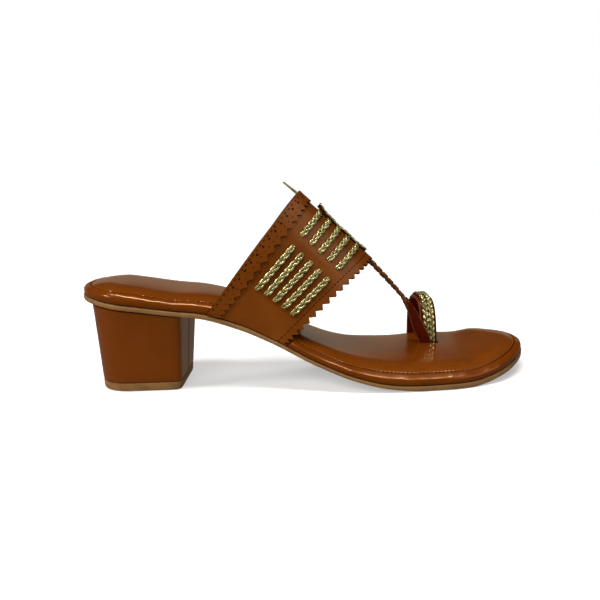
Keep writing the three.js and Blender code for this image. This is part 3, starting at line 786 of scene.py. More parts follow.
def settle(piece):
    """Works the piece's modifiers into its mesh and removes them."""
    bpy.context.view_layer.update()
    done = piece.evaluated_get(bpy.context.evaluated_depsgraph_get())
    mesh = bpy.data.meshes.new_from_object(done)
    piece.modifiers.clear()
    piece.data = mesh
    return piece


def cut(piece, *tools):
    for tool in tools:
        knife = piece.modifiers.new("cut", "BOOLEAN")
        knife.operation = "DIFFERENCE"
        knife.solver = "EXACT"
        knife.use_self = True
        knife.object = tool
    settle(piece)
    for tool in tools:
        bpy.data.objects.remove(tool)
    shade(piece.data)
    return piece


def block(name, low, high):
    """A box between two corners, as a cutting tool."""
    corners = [(x, y, z) for z in (low[2], high[2]) for y in (low[1], high[1]) for x in (low[0], high[0])]
    faces = [(0, 2, 3, 1), (4, 5, 7, 6), (0, 1, 5, 4), (2, 6, 7, 3), (0, 4, 6, 2), (1, 3, 7, 5)]
    return new_piece(name, corners, faces, RIM_LEATHER)


def band_recess():
    """The room that the band takes up, with a glue line round it."""
    around = np.linspace(-RECESS_PAST, 2 + RECESS_PAST, RECESS_STEPS)
    low = back_edge(around) - GLUE / band_width(around)
    high = 1 + (TOOTH_DEPTH + GLUE) / band_width(around)
    across = low[:, None] + (high - low)[:, None] * np.linspace(0, 1, RECESS_COLUMNS)
    points, faces, _ = band_shell(across, around, -WALL - GLUE, RECESS_OUT)
    return new_piece("band_recess", points, faces, RIM_LEATHER)


print("knives: a block and the band's recess")

# %% Footbed
RIM_ROWS = [  # inset from the outline, share of the height in the heel seat, and in the forepart
    (1.6, 0, 0), (1.0, 0.03, 0.02), (0.6, 0.1, 0.06), (0.4, 0.19, 0.125), (0.33, 0.28, 0.195),
    (0.36, 0.36, 0.26), (0.5, 0.42, 0.31), (0.75, 0.475, 0.35), (1.15, 0.535, 0.39),
    (1.8, 0.605, 0.44), (2.5, 0.655, 0.495), (3.1, 0.685, 0.538), (3.5, 0.695, 0.565),
    (3.7, 0.688, 0.57), (3.82, 0.66, 0.552), (3.87, 0.58, 0.5), (3.9, 0.45, 0.4),
]
PUCKERS = [(0.13, 48, 0.3), (0.09, 71, 1.7)]  # height in mm, half waves along a side, and start
RING_EDGE = np.array([66.0, 40.6])  # where the toe ring goes down at the inner edge
RING_WIDTH, RING_THICK = 9.0, 1.8
NOTCH_OUT = 12  # how far the ring's notch goes on past the rim


def wrapped_footbed():
    pull = sum(high * np.sin(np.pi * waves * RING_PATH + start) for high, waves, start in PUCKERS)
    rings = [bed_ring(*row) for row in RIM_ROWS]
    for ring, (_, share, _) in zip(rings, RIM_ROWS):
        ring[:, 2] += pull * share
    piece = new_piece("wrapped_footbed", *stack(rings), RIM_LEATHER)
    half = RING_WIDTH / 2 + GLUE
    medial = RING_EDGE[1] - RING_THICK / 2 - GLUE
    low = RING_EDGE[0] - half, medial, UNDER
    high = RING_EDGE[0] + half, medial + NOTCH_OUT, OVER
    notch = block("ring_notch", low, high)
    return cut(piece, band_recess(), notch)


dress(wrapped_footbed(), "leather", "footbed")

# %% Padded insole
PAD_ROWS = [  # the same three columns as in RIM_ROWS
    (5.4, 0.46, 0.4), (4.5, 0.47, 0.41), (4.3, 0.62, 0.53), (4.35, 0.675, 0.58), (4.5, 0.7, 0.603),
    (5.1, 0.725, 0.645), (6.2, 0.77, 0.715), (7.6, 0.82, 0.79), (9.4, 0.87, 0.86), (11.6, 0.905, 0.905),
    (14.3, 0.925, 0.925),
]
PAD_CROWN = 0.02  # share of the height that the middle rises above the last row
PAD_REACH = LENGTH / 2 - PAD_ROWS[-1][0]  # from the middle to either end of the crown
PAD_END_POWER = 6  # how late the crown drops towards its ends
PAD_STRIPS = 28  # from side to side
RING_SLIT = np.array([69.5, 10.8])  # where the toe ring comes up
THONG_FOOT = np.array([66.2, 7.1])
THONG_WIDTH, THONG_THICK = 7.0, 1.8


def padded_insole():
    rings = [bed_ring(*row) for row in PAD_ROWS]
    crown = lambda x: bed_thick(along(x)) * PAD_CROWN
    dome = lambda x, v: crown(x) * (1 - v * v) * (1 - (x / PAD_REACH) ** PAD_END_POWER)
    piece = new_piece("padded_insole", *stack(rings, PAD_STRIPS, dome), INSOLE_LEATHER)
    back = min(THONG_FOOT[0] - THONG_WIDTH / 2, RING_SLIT[0] - RING_WIDTH / 2) - GLUE
    front = max(THONG_FOOT[0] + THONG_WIDTH / 2, RING_SLIT[0] + RING_WIDTH / 2) + GLUE
    lateral = THONG_FOOT[1] - THONG_THICK / 2 - GLUE
    medial = RING_SLIT[1] + RING_THICK / 2 + GLUE
    slit = block("toe_slit", (back, lateral, UNDER), (front, medial, OVER))
    return cut(piece, slit)


insole = dress(padded_insole(), "insole_leather", "insole")

# %% [markdown]
# ## Band leather
# The band's front edge is pinked: cut into small saw teeth, as pinking shears do. The band is a
# grid on its surface with a real thickness, so the teeth have edges that catch the light. A
# picture of teeth would be lighter, but its outline would stay straight.

# %% Instep band
BAND_COLUMNS = 22
NOTCH_BACK = 0.3  # leather that stays behind the notches, in millimetres
CREASES = [  # around at the back edge and at the front one, height and half width in millimetres
    (0.645, 0.6, 0.15, 2.4), (1.355, 1.4, 0.15, 2.4),
]
BAND_REACH = 85.0  # from a foot to the ridge, round the band


def tooth_steps(low, high):
    """Places around the band, with a step at every notch and point of a tooth."""
    share = np.linspace(0, 1, 2 * TEETH * TOOTH_STEPS + 1)
    return low + (high - low) * share, share


def pinked_grid(low, notch, share, width, columns, behind):
    """Places across a strip whose front edge is pinked, with a row for each place around it."""
    across = low[:, None] + (notch - low)[:, None] * np.linspace(0, 1, columns)
    across[:, -1] -= behind / width
    return np.column_stack([across, notch + tooth(share) * TOOTH_DEPTH / width])


def creases(across, around):
    """Soft ridges of the leather, fading out towards the band's edges."""
    fade = np.clip(across, 0, 1) * np.clip(1 - across, 0, 1) * 4
    total = np.zeros_like(across)
    for at_back, at_front, height, half in CREASES:
        away = (around - at_back - (at_front - at_back) * across) * BAND_REACH / half
        total += height * fade * np.exp(-away * away)
    return total


def instep_band():
    around, share = tooth_steps(0, 2)
    edges = back_edge(around), front_edge(around)
    across = pinked_grid(*edges, share, band_width(around), BAND_COLUMNS, NOTCH_BACK)
    shell = band_shell(across, around, -WALL, creases(across, around[:, None]))
    # The band's cut edges take the dark edge leather, which paints the shadows along its pinked teeth.
    return shell_piece("instep_band", shell, [BAND_LEATHER, LINING_LEATHER, EDGE_DYE_AND_SHADE])


dress(instep_band(), "leather", "upper")

# %% [markdown]
# ## Plaits
# The gold trim is plaited from three strands. A strand of a flat plait swings from side to side
# once while it goes over and under twice, which is a sine and a sine of twice the angle. Geometry
# Nodes put that on any path: the path carries its own "side" and "up" directions, and the tree
# pushes three copies of it along them, a third of a turn apart, and sweeps a flattened ring along
# each, which is what leather lacing looks like. Round strands would look like rope.

# %% How a tree starts and ends
FLOAT = "NodeSocketFloat"


def new_tree(name, **inputs):
    """A geometry tree with a geometry input and these named sizes; returns it and its wires."""
    tree = bpy.data.node_groups.new(name, "GeometryNodeTree")
    inputs = {"Geometry": "NodeSocketGeometry", **inputs}
    for label, kind in inputs.items():
        tree.interface.new_socket(label, in_out="INPUT", socket_type=kind)
    tree.interface.new_socket("Geometry", in_out="OUTPUT", socket_type="NodeSocketGeometry")
    start = Wire.make(tree, "NodeGroupInput")
    return tree, {label: start.beside(label) for label in inputs}


def end_tree(tree, geometry, material, where=True):
    """Every tree ends the same way: real geometry, with its material on the chosen faces."""
    real = Wire.make(tree, "GeometryNodeRealizeInstances", None, {"Geometry": geometry})
    smooth = Wire.make(tree, "GeometryNodeSetShadeSmooth", None, {"Geometry": real})
    sockets = {"Geometry": smooth, "Material": material, "Selection": where}
    painted = Wire.make(tree, "GeometryNodeSetMaterial", None, sockets)
    Wire.make(tree, "NodeGroupOutput", None, {0: painted})


def named(tree, label, kind="FLOAT_VECTOR"):
    """A value that the path carries at each of its points."""
    return Wire.make(tree, "GeometryNodeInputNamedAttribute", {"data_type": kind}, {"Name": label})


def three(tree, x, y, z):
    return Wire.make(tree, "ShaderNodeCombineXYZ", None, {0: x, 1: y, 2: z})


print("tree helpers: new_tree, end_tree, named, three")

# %% A plait as a node tree
STRAND_SIDES = 10


def plait_tree(name, material):
    tree, size = new_tree(name, Width=FLOAT, Height=FLOAT, Strand=FLOAT, Thick=FLOAT, Turn=FLOAT)
    path = Wire.make(tree, "GeometryNodeMeshToCurve", None, {"Mesh": size["Geometry"]})
    side, up = named(tree, "side"), named(tree, "up")
    full = named(tree, "full", "FLOAT")
    run = Wire.make(tree, "GeometryNodeSplineParameter", out="Length")
    sockets = {"Resolution": STRAND_SIDES, "Radius": 1.0}
    ring = Wire.make(tree, "GeometryNodeCurvePrimitiveCircle", None, sockets)
    flat = three(tree, size["Thick"] / size["Strand"], 1.0, 1.0)  # X lies along the curve's normal
    ring = Wire.make(tree, "GeometryNodeTransform", None, {"Geometry": ring, "Scale": flat})
    strands = []
    for strand in range(3):
        angle = run / size["Turn"] * math.tau + strand * math.tau / 3
        swing = Wire.make(tree, "ShaderNodeMath", {"operation": "SINE"}, {0: angle})
        cross = Wire.make(tree, "ShaderNodeMath", {"operation": "SINE"}, {0: angle * 2.0})
        push = side * (swing * size["Width"] * full) + up * (cross * size["Height"] * full)
        moved = Wire.make(tree, "GeometryNodeSetPosition", None, {"Geometry": path, "Offset": push})
        sockets = {"Curve": moved, "Normal": up}
        laid = Wire.make(tree, "GeometryNodeSetCurveNormal", {"mode": "FREE"}, sockets)
        sockets = {"Curve": laid, "Profile Curve": ring, "Scale": size["Strand"] * full, "Fill Caps": True}
        strands.append(Wire.make(tree, "GeometryNodeCurveToMesh", None, sockets))
    end_tree(tree, Wire.make(tree, "GeometryNodeJoinGeometry", None, {0: strands}), material)
    return tree


GOLD_PLAIT = plait_tree("gold_plait", GOLD)
BROWN_PLAIT = plait_tree("brown_plait", PLAIT_LEATHER_WITH_LIGHT)
print("plait tree has", len(GOLD_PLAIT.nodes), "nodes")

# %% Paths for a tree to follow


def path_object(name, points, **carried):
    """A chain of edges through millimetre points, with values and directions at each point."""
    mesh = bpy.data.meshes.new(name)
    count = len(points)
    mesh.from_pydata((np.asarray(points) * MM).tolist(), [(i, i + 1) for i in range(count - 1)], [])
    for label, values in carried.items():
        values = np.asarray(values, np.float32)
        kind = "FLOAT_VECTOR" if values.ndim == 2 else "FLOAT"
        field = "vector" if values.ndim == 2 else "value"
        mesh.attributes.new(label, kind, "POINT").data.foreach_set(field, values.ravel())
    made = bpy.data.objects.new(name, mesh)
    bpy.context.scene.collection.objects.link(made)
    return made


def grow(piece, tree, **sizes):
    """Runs a tree on the piece, with sizes in millimetres, and keeps the plain mesh."""
    modifier = piece.modifiers.new(tree.name, "NODES")
    modifier.node_group = tree
    inputs = [item for item in tree.interface.items_tree if item.in_out == "INPUT"]
    sockets = {item.name: item.identifier for item in inputs}
    for label, value in sizes.items():
        modifier[sockets[label]] = value * MM if isinstance(value, float) else value
    return settle(piece)


def even_places(point, low, high, spacing, samples=200, least=4):
    """Places from low to high that are evenly spaced along the curve point(place)."""
    fine = np.linspace(low, high, samples)
    steps = np.linalg.norm(np.diff(point(fine), axis=0), axis=1)
    run = np.append(0, np.cumsum(steps))
    count = max(least, round(run[-1] / spacing))
    return np.interp(np.linspace(0, run[-1], count), run, fine)


def tucked_ends(count, ends):
    """1 along a plait, and less over the last points at both ends, where it dives into a slit."""
    k = np.minimum(np.arange(count), np.arange(count)[::-1]) / ends
    return np.clip(0.5 + 0.5 * np.sqrt(np.clip(k, 0, 1)), 0, 1)


print("places on the ridge, 10 mm apart:", even_places(lambda a: band_point(a, 1.0), 0, 1, 10.0).round(2))

# %% [markdown]
# ## Gold trim
# Fifteen short braids lie across the band in three groups, and each end dives into a slit in the
# leather. Along the ridge, a double braid on a strip of leather holds the middle ones down, and its
# pointed tail sticks out behind the band. One braid could be copied along curves with Array and
# Curve modifiers, but bends would stretch it. A path on the band's surface keeps every strand even.

# %% Gold braids on the band
BRAID_FIRST, BRAID_STEP, BRAID_COUNT = 0.3, 0.13, 5  # places across the band
BRAID_GROUPS = [  # name, from, to, how far both ends move on by the front braid, and relief
    ("lateral", 0.305, 0.59, -0.03, -0.03, 0.42),
    ("centre", 0.655, 1.345, -0.03, 0.03, 0.28),
    ("medial", 1.41, 1.695, 0.03, 0.03, 0.42),
]
BRAID_SIZES = {"Width": 1.15, "Strand": 0.64, "Thick": 0.36, "Turn": 12.6}  # half sizes, and one swing
BRAID_POINTS, BRAID_ENDS = 0.5, 5  # millimetres between points, and how many make up an end
BRAID_DIVE = 1.2  # how deep an end goes into the leather
RIDGE_SINK, RIDGE_REACH = 1.0, 0.14  # how deep and how far round the ridge strip presses a centre braid


def band_braid(name, place, low, high, relief):
    around = even_places(lambda a: band_point(place, a), low, high, BRAID_POINTS)
    across = np.full_like(around, place)
    side, _, up = band_frame(across, around)
    press = np.clip(1 - np.abs(around - 1) / RIDGE_REACH, 0, 1)
    full = tucked_ends(len(around), BRAID_ENDS)
    out = GLUE + relief + BRAID_SIZES["Thick"] - RIDGE_SINK * press - (1 - full) * BRAID_DIVE
    path = path_object(name, band_offset(across, around, out), side=side, up=up, full=full)
    return grow(path, GOLD_PLAIT, Height=relief, **BRAID_SIZES)


for group, low, high, low_slant, high_slant, relief in BRAID_GROUPS:
    for i in range(BRAID_COUNT):
        share = i / (BRAID_COUNT - 1)
        ends = low + low_slant * share, high + high_slant * share
        braid = band_braid(f"gold_{group}_{i + 1}", BRAID_FIRST + BRAID_STEP * i, *ends, relief)
        dress(braid, "gold_braid", f"braid_{group}_{i + 1}")

# %% Strip along the ridge
STRIP_FROM, STRIP_TO = 0.25, 0.93  # places across the band
STRIP_HALF = 0.04  # of its width, as a share of the way round the band
STRIP_RISE = [  # share of its length, and how high its leather lies over the ridge in millimetres
    (0, 3.2), (0.08, 2.2), (0.18, 1.4), (0.3, 1.3), (0.42, 0.65), (0.6, 1.0), (0.78, 0.6), (1, 1.2),
]
STRIP_THICK, STRIP_COLUMNS = 0.9, 9
STRIP_DROOP = 0.4  # share of that rise by which its edges hang lower than its middle
STRIP_LIFT = 0.15  # of its leather where that rise is 0
PLAIT_POINTS = 0.6  # millimetres between the points of a path


def ridge_line():
    """Places along the ridge, and how high the strip lies there."""
    across = even_places(lambda a: band_point(a, 1.0), STRIP_FROM, STRIP_TO, PLAIT_POINTS)
    return across, column(*zip(*STRIP_RISE))((across - STRIP_FROM) / (STRIP_TO - STRIP_FROM))


def ridge_backing():
    line, rise = ridge_line()
    v = np.linspace(-1, 1, STRIP_COLUMNS)
    across = np.tile(line, (STRIP_COLUMNS, 1))
    top = STRIP_LIFT + rise * (1 - STRIP_DROOP * v[:, None] ** 2)
    under = np.maximum(-STRIP_LIFT, top - STRIP_THICK)
    shell = band_shell(across, 1 + v * STRIP_HALF, under, top)
    # All of the strip takes the dark edge leather: partly its own dark edge, partly painted shade for the
    # shadow line under the ridge braid.
    return shell_piece("ridge_backing", shell, [EDGE_DYE_AND_SHADE, EDGE_DYE_AND_SHADE, EDGE_DYE_AND_SHADE])


dress(ridge_backing(), "leather")

# %% Double braid on that strip
STRIP_BRAID = {"Width": 0.9, "Height": 0.16, "Strand": 0.7, "Thick": 0.25, "Turn": 9.0}
STRIP_BRAID_LIFT = 0.35  # of the plaits' middle above the strip's rise
DOUBLE_ENDS = 3  # how many points make up an end


def joined(name, pieces):
    """One object from several meshes that are already in place."""
    mesh = bpy.data.meshes.new(name)
    points, faces = [], []
    for piece in pieces:
        base = len(points)
        points += [v.co[:] for v in piece.data.vertices]
        faces += [tuple(base + v for v in face.vertices) for face in piece.data.polygons]
        bpy.data.objects.remove(piece)
    mesh.from_pydata(points, [], faces)
    mesh.shade_smooth()
    made = bpy.data.objects.new(name, mesh)
    bpy.context.scene.collection.objects.link(made)
    return made


def double_braid(name, half, sizes):
    """Two mirrored gold plaits as one piece; half(hand) gives one's points, side, up and fullness."""
    halves = []
    for hand in (-1, 1):
        points, side, up, full = half(hand)
        path = path_object(f"{name}_{hand}", points, side=side * hand, up=up, full=full)
        halves.append(grow(path, GOLD_PLAIT, **sizes))
    piece = joined(name, halves)
    piece.data.materials.append(GOLD)
    return piece


def ridge_half(hand):
    line, rise = ridge_line()
    around = np.full_like(line, 1 + hand * STRIP_HALF / 2)
    _, travel, up = band_frame(line, around)
    points = band_offset(line, around, rise + STRIP_BRAID_LIFT)
    return points, travel, up, tucked_ends(len(line), DOUBLE_ENDS)


dress(double_braid("ridge_braid", ridge_half, STRIP_BRAID), "gold_braid", "ridge_strip")

# %% The strip's tail
TAIL_ROWS = [  # how far behind the band, width, thickness and level above the band's outer face
    (-1.0, 3.0, 1.5, -0.9), (9.4, 0.9, 0.8, -1.4),
]
TAIL_STEPS = 25
TAIL_BEVELS = 0.12, 0.4  # shares of the width and the thickness


def sweep(origins, sides, ups, widths, heights, section):
    """Points and faces of a closed tube: section holds shares of the width and the height."""
    section = np.array(section)
    count = len(section)
    reach = section[None, :, 0, None] * (sides * widths[:, None])[:, None, :]
    rise = section[None, :, 1, None] * (ups * heights[:, None])[:, None, :]
    points = (origins[:, None, :] + reach + rise).reshape(-1, 3)
    faces = []
    for ring in range(len(origins) - 1):
        for i in range(count):
            a, b = ring * count + i, ring * count + (i + 1) % count
            faces.append((a, b, b + count, a + count))
    last = len(points) - count
    faces.append(tuple(range(count))[::-1])
    faces.append(tuple(last + i for i in range(count)))
    return points, faces


def soft_strap(bevel, thick_bevel):
    """A flat section with its corners taken off, running against the direction of travel."""
    a, b = 0.5 - bevel, 0.5 - thick_bevel
    return [(-a, -0.5), (a, -0.5), (0.5, -b), (0.5, b), (a, 0.5), (-a, 0.5), (-0.5, b), (-0.5, -b)]


def strip_tail():
    share = np.linspace(0, 1, TAIL_STEPS)
    out, width, thick, level = (low + (high - low) * share for low, high in zip(*TAIL_ROWS))
    ridge = np.ones(TAIL_STEPS)
    _, travel, up = band_frame(0 * ridge, ridge)
    origins = band_offset(-out / band_width(1.0), ridge, level)
    tube = sweep(origins, -travel, up, width, thick, soft_strap(*TAIL_BEVELS))
    return new_piece("gold_tail", *tube, GOLD)


dress(strip_tail(), "gold_braid", "strip_tail")

# %% [markdown]
# ## Toe ring and thong
# A strap comes up through a slit in the insole, arches over the big toe and goes down to the
# inner edge. From the same slit a flat thong runs up to the band and turns into a plait on the
# way. Bevelled curves could make the straps; sweeping a flat section in code also lets it narrow
# and turn on the way. The plait uses the same tree as the gold braids.

# %% Toe ring
RING_TOP = 34.6
RING_POWER = 3  # how square its arch is
RING_POINTS = 0.9  # millimetres between points
RING_BEVELS = 0.06, 0.3
STRAP_SHARP = 50  # degrees
EDGE_FROM = 0.4  # share of the width, beyond which a face is a cut edge


def strap(name, origins, sides, ups, widths, heights, section):
    """A leather strap: its dark faces hold painted shade, and its cut edges are paler, partly as a painted
    highlight.
    """
    tube = sweep(origins, sides, ups, widths, heights, section)
    piece = new_piece(name, *tube, THONG_LEATHER_WITH_SHADE, STRAP_SHARP)
    piece.data.materials.append(STRAP_EDGE_AND_HIGHLIGHT)
    reach = np.array(section)[:, 0]
    edge = np.abs(reach + np.roll(reach, -1)) / 2 > EDGE_FROM
    kinds = np.append(np.tile(edge, len(origins) - 1), [False, False])
    piece.data.polygons.foreach_set("material_index", kinds.astype(np.int32))
    return piece


def ring_point(share):
    angle = np.pi * (1 - share)
    bend = lambda v: np.sign(v) * np.abs(v) ** (2 / RING_POWER)
    reach = (1 + bend(np.cos(angle))) / 2
    low = footbed_base(along(RING_SLIT[0]))
    plan = RING_SLIT + (RING_EDGE - RING_SLIT) * reach[..., None]
    return np.column_stack([plan, low + (RING_TOP - low) * bend(np.sin(angle))])


def ring_frame(share):
    nudge = 0.002
    travel = ring_point(np.minimum(share + nudge, 1)) - ring_point(np.maximum(share - nudge, 0))
    travel[:, 0] = 0
    side = np.tile([1.0, 0, 0], (len(share), 1))
    return side, np.cross(side, unit(travel))


def toe_ring():
    share = even_places(ring_point, 0, 1, RING_POINTS)
    side, up = ring_frame(share)
    flat = np.ones(len(share))
    section = soft_strap(*RING_BEVELS)[::-1]
    return strap("toe_ring", ring_point(share), side, up, RING_WIDTH * flat, RING_THICK * flat, section)


dress(toe_ring(), "leather")

# %% Double braid on the toe ring
RING_BRAID_FROM, RING_BRAID_TO = 0.036, 0.9  # shares of the way along the ring
RING_BRAID_WIDTH, RING_BRAID_AHEAD = 6.0, 0.2  # of both plaits, and past the strap's middle
RING_BRAID_LIFT = 0.78  # of the plaits' middle above the strap
RING_BRAID = {"Width": 1.0, "Height": 0.53, "Strand": 0.62, "Thick": 0.48, "Turn": 10.0}


def ring_half(hand):
    share = even_places(ring_point, RING_BRAID_FROM, RING_BRAID_TO, PLAIT_POINTS)
    side, up = ring_frame(share)
    full = tucked_ends(len(share), DOUBLE_ENDS)
    points = ring_point(share) + up * (RING_THICK / 2 + RING_BRAID_LIFT * full)[:, None]
    points = points + side * (RING_BRAID_AHEAD + hand * RING_BRAID_WIDTH / 4)
    return points, side, up, full


dress(double_braid("ring_braid", ring_half, RING_BRAID), "gold_braid", "toe_ring_braid")

# %% Thong strap and its plait
THONG_ROWS = [  # x, y, z, width, thickness, and the turn of its face from X towards Y
    (66.2, 7.1, 3.0, 7.0, 1.8, 0), (66.2, 7.1, 12.8, 7.0, 1.8, 0), (62.9, 7.1, 21.2, 6.6, 1.8, 2),
    (59.2, 6.9, 30.1, 4.8, 1.9, 14), (55.8, 6.4, 36.5, 4.2, 2.1, 50), (52.4, 5.8, 41.2, 4.4, 2.0, 84),
    (49.4, 5.0, 44.9, 4.8, 1.8, 90), (43.6, 3.4, 51.6, 5.2, 1.6, 90), (36.2, 1.4, 59.9, 5.4, 1.6, 90),
    (31.0, 0.2, 65.4, 5.4, 1.6, 90),
]
thong_x, thong_y, thong_z, thong_wide, thong_thick, thong_turn = (
    column(range(len(THONG_ROWS)), values) for values in zip(*THONG_ROWS)
)
THONG_END = len(THONG_ROWS) - 1
THONG_POINTS = 0.8  # millimetres between points
THONG_BEVELS = 0.08, 0.32
PLAIT_STARTS, STRAP_ENDS = 3.8, 4.3  # rows where the plait begins and the flat strap under it ends
PLAIT_FULL = 5.4  # width at which the plait has the sizes below
THONG_PLAIT = {"Width": 1.5, "Height": 0.7, "Strand": 1.15, "Thick": 0.9, "Turn": 15.0}


def thong_point(place):
    return np.stack([value(place) for value in (thong_x, thong_y, thong_z)], axis=-1)


def thong_frame(place):
    nudge = 0.05
    ahead, behind = np.minimum(place + nudge, THONG_END), np.maximum(place - nudge, 0)
    travel = unit(thong_point(ahead) - thong_point(behind))
    face = np.radians(thong_turn(place))
    side = np.stack([np.cos(face), np.sin(face), 0 * face], axis=-1)
    side = unit(side - travel * np.sum(side * travel, axis=-1, keepdims=True))
    return side, np.cross(travel, side)


def thong_strap():
    place = even_places(thong_point, 0, STRAP_ENDS, THONG_POINTS)
    sizes = thong_wide(place), thong_thick(place)
    return strap("thong_strap", thong_point(place), *thong_frame(place), *sizes, soft_strap(*THONG_BEVELS))


def thong_plait():
    place = even_places(thong_point, PLAIT_STARTS, THONG_END, PLAIT_POINTS)
    side, up = thong_frame(place)
    full = thong_wide(place) / PLAIT_FULL
    path = path_object("thong_plait", thong_point(place), side=side, up=up, full=full)
    return grow(path, BROWN_PLAIT, **THONG_PLAIT)


dress(thong_strap(), "leather")
dress(thong_plait(), "leather")

# %% [markdown]
# ## Collar, holes and stitches
# A second strip of leather, pinked along its own front, is laid on the band's back edge as a
# collar. It is punched: a row of round holes, with pinholes beside it. Holes could be painted on,
# but real ones shade themselves, so Geometry Nodes set a little punch on every mark and cut them
# all out of the leather at once. The walls of the holes take the dark edge leather, which adds
# painted shade inside them. Stitches are the other way round: one bead of thread is set along a
# path again and again, turned to lie along it. Both trees carry their sizes as named inputs.

# %% Collar leather
COLLAR_WIDTH, COLLAR_THICK = 8.4, 0.8
COLLAR_STARTS = 0.012  # place around the band, just above its foot
COLLAR_COLUMNS, COLLAR_NOTCH_BACK = 7, 0.2


def pinked_collar():
    around, share = tooth_steps(COLLAR_STARTS, 2 - COLLAR_STARTS)
    width = band_width(around)
    edges = back_edge(around), (COLLAR_WIDTH - TOOTH_DEPTH) / width
    across = pinked_grid(*edges, share, width, COLLAR_COLUMNS, COLLAR_NOTCH_BACK)
    shell = band_shell(across, around, GLUE, GLUE + COLLAR_THICK)
    # The collar's underside and cut edges take the dark edge leather, which paints the shadows along its
    # teeth.
    return shell_piece("pinked_collar", shell, [BAND_LEATHER, EDGE_DYE_AND_SHADE, EDGE_DYE_AND_SHADE])


collar = pinked_collar()
print("collar has", len(collar.data.polygons), "faces before it is punched")

# %% A punch as a node tree
PUNCH_SIDES = 14


def turned(tree, up, ahead):
    """A turn whose Z is up and whose X is as near ahead as it can be."""
    settings = {"primary_axis": "Z", "secondary_axis": "X"}
    sockets = {"Primary Axis": up, "Secondary Axis": ahead}
    return Wire.make(tree, "FunctionNodeAxesToRotation", settings, sockets)


def punch_tree(name, leather_face, cut_face):
    tree, size = new_tree(name, Marks="NodeSocketObject", Depth=FLOAT)
    marks = Wire.make(tree, "GeometryNodeObjectInfo", None, {"Object": size["Marks"]}, out="Geometry")
    sockets = {"Vertices": PUNCH_SIDES, "Radius": 1.0, "Depth": 1.0}
    punch = Wire.make(tree, "GeometryNodeMeshCylinder", {"fill_type": "NGON"}, sockets)
    punch = Wire.make(tree, "GeometryNodeSetMaterial", None, {"Geometry": punch, "Material": cut_face})
    radius = named(tree, "radius", "FLOAT")
    rotation = turned(tree, named(tree, "up"), named(tree, "side"))
    scale = three(tree, radius, radius, size["Depth"])
    sockets = {"Points": marks, "Instance": punch, "Rotation": rotation, "Scale": scale}
    punches = Wire.make(tree, "GeometryNodeInstanceOnPoints", None, sockets)
    punches = Wire.make(tree, "GeometryNodeRealizeInstances", None, {"Geometry": punches})
    sockets = {"Mesh 1": size["Geometry"], "Mesh 2": punches}
    settings = {"operation": "DIFFERENCE", "solver": "EXACT"}
    punched = Wire.make(tree, "GeometryNodeMeshBoolean", settings, sockets)
    kind = Wire.make(tree, "GeometryNodeInputMaterialIndex")
    settings = {"data_type": "INT", "operation": "EQUAL"}
    first = Wire.make(tree, "FunctionNodeCompare", settings, {2: kind, 3: 0})  # whole-number sockets
    end_tree(tree, punched, leather_face, first)
    return tree


# The hole walls take the dark edge leather, which paints shade inside the holes.
PUNCH = punch_tree("punch", BAND_LEATHER, EDGE_DYE_AND_SHADE)
print("punch tree has", len(PUNCH.nodes), "nodes")

# %% Punching the collar
HOLE_ROWS = [  # from the back edge, apart and radius in millimetres, and place around of the first
    (3.05, 4.9, 0.65, 0.27),
    (5.5, 3.3, 0.32, 0.05),
]
PUNCH_DEPTH = 2.0


def collar_marks():
    """Places of all holes, on the middle of the collar's thickness."""
    rows = []
    for row, spacing, radius, start in HOLE_ROWS:
        around = even_places(lambda a: band_point(row / band_width(a), a), start, 2 - start, spacing)
        across = back_edge(around) + row / band_width(around)
        side, _, up = band_frame(across, around)
        points = band_offset(across, around, np.full_like(around, GLUE + COLLAR_THICK / 2))
        rows.append((points, side, up, np.full_like(around, radius * MM)))
    points, side, up, radius = (np.concatenate(values) for values in zip(*rows))
    return path_object("collar_marks", points, side=side, up=up, radius=radius)


marks = collar_marks()
grow(collar, PUNCH, Marks=marks, Depth=PUNCH_DEPTH)
shade(collar.data)
print("holes:", len(marks.data.vertices))
bpy.data.objects.remove(marks)
dress(collar, "leather", "collar_overlay")

# %% A stitch as a node tree
BEAD_SIDES, BEAD_RINGS = 6, 5


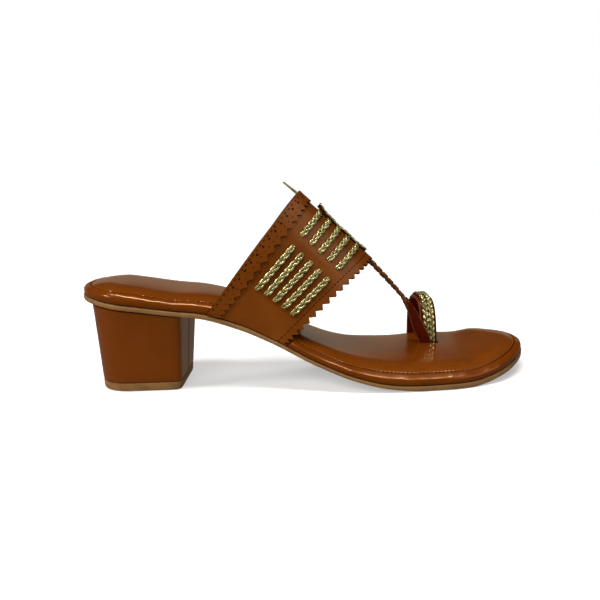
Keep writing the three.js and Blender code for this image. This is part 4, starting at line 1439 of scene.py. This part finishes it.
def stitch_tree(name, material):
    tree, size = new_tree(name, Spacing=FLOAT, Long=FLOAT, Thick=FLOAT)
    path = Wire.make(tree, "GeometryNodeMeshToCurve", None, {"Mesh": size["Geometry"]})
    sockets = {"Curve": path, "Length": size["Spacing"]}
    spots = Wire.make(tree, "GeometryNodeCurveToPoints", {"mode": "LENGTH"}, sockets, out="Points")
    rotation = turned(tree, named(tree, "up"), spots.beside("Tangent"))
    sockets = {"Segments": BEAD_SIDES, "Rings": BEAD_RINGS, "Radius": 0.5}
    bead = Wire.make(tree, "GeometryNodeMeshUVSphere", None, sockets)
    scale = three(tree, size["Long"], size["Thick"], size["Thick"])
    sockets = {"Points": spots, "Instance": bead, "Rotation": rotation, "Scale": scale}
    end_tree(tree, Wire.make(tree, "GeometryNodeInstanceOnPoints", None, sockets), material)
    return tree


DARK_STITCH = stitch_tree("dark_stitch", BROWN_THREAD)
RIM_STITCH = stitch_tree("rim_stitch", RIM_THREAD)
print("stitch tree has", len(DARK_STITCH.nodes), "nodes")

# %% Seams of the band and the insole
COLLAR_SEAM, FRONT_SEAM = 1.3, 2.6  # from the collar's back edge, and from the band's front edge
INSOLE_SEAM = 4.55  # from the outline
SEAM_STARTS, SEAM_POINTS = 0.03, 1.0  # place around the band, and millimetres between points
SEAM_TILT = 0.4  # the insole's slope is measured over these millimetres


def band_seam(name, across_at, out):
    """A path along the band, where across_at(around) says, lifted by "out" millimetres."""
    line = lambda a: band_point(across_at(a), a)
    around = even_places(line, SEAM_STARTS, 2 - SEAM_STARTS, SEAM_POINTS)
    _, _, up = band_frame(across_at(around), around)
    points = band_offset(across_at(around), around, np.full_like(around, out))
    return path_object(name, points, up=up)


def insole_seam():
    rows = np.array(PAD_ROWS[2:])  # from the pad's widest row up
    level = lambda inset: [np.interp(inset, rows[:, 0], rows[:, k]) for k in (1, 2)]
    here, inner = (bed_ring(inset, *level(inset)) for inset in (INSOLE_SEAM, INSOLE_SEAM + SEAM_TILT))
    ahead = np.roll(here, -1, axis=0) - np.roll(here, 1, axis=0)
    closed = lambda ring: np.append(ring, ring[:1], axis=0)
    return path_object("insole_stitches", closed(here), up=closed(unit(np.cross(inner - here, ahead))))


collar_line = lambda a: back_edge(a) + COLLAR_SEAM / band_width(a)
collar_edge = band_seam("collar_stitches", collar_line, GLUE + COLLAR_THICK)
dress(grow(collar_edge, DARK_STITCH, Spacing=3.1, Long=1.6, Thick=0.6), "leather")
front_line = lambda a: front_edge(a) - FRONT_SEAM / band_width(a)
front_edge_seam = band_seam("front_stitches", front_line, 0.0)
dress(grow(front_edge_seam, DARK_STITCH, Spacing=2.3, Long=2.0, Thick=0.45), "leather")
dress(grow(insole_seam(), RIM_STITCH, Spacing=2.1, Long=1.8, Thick=0.8), "insole_leather")
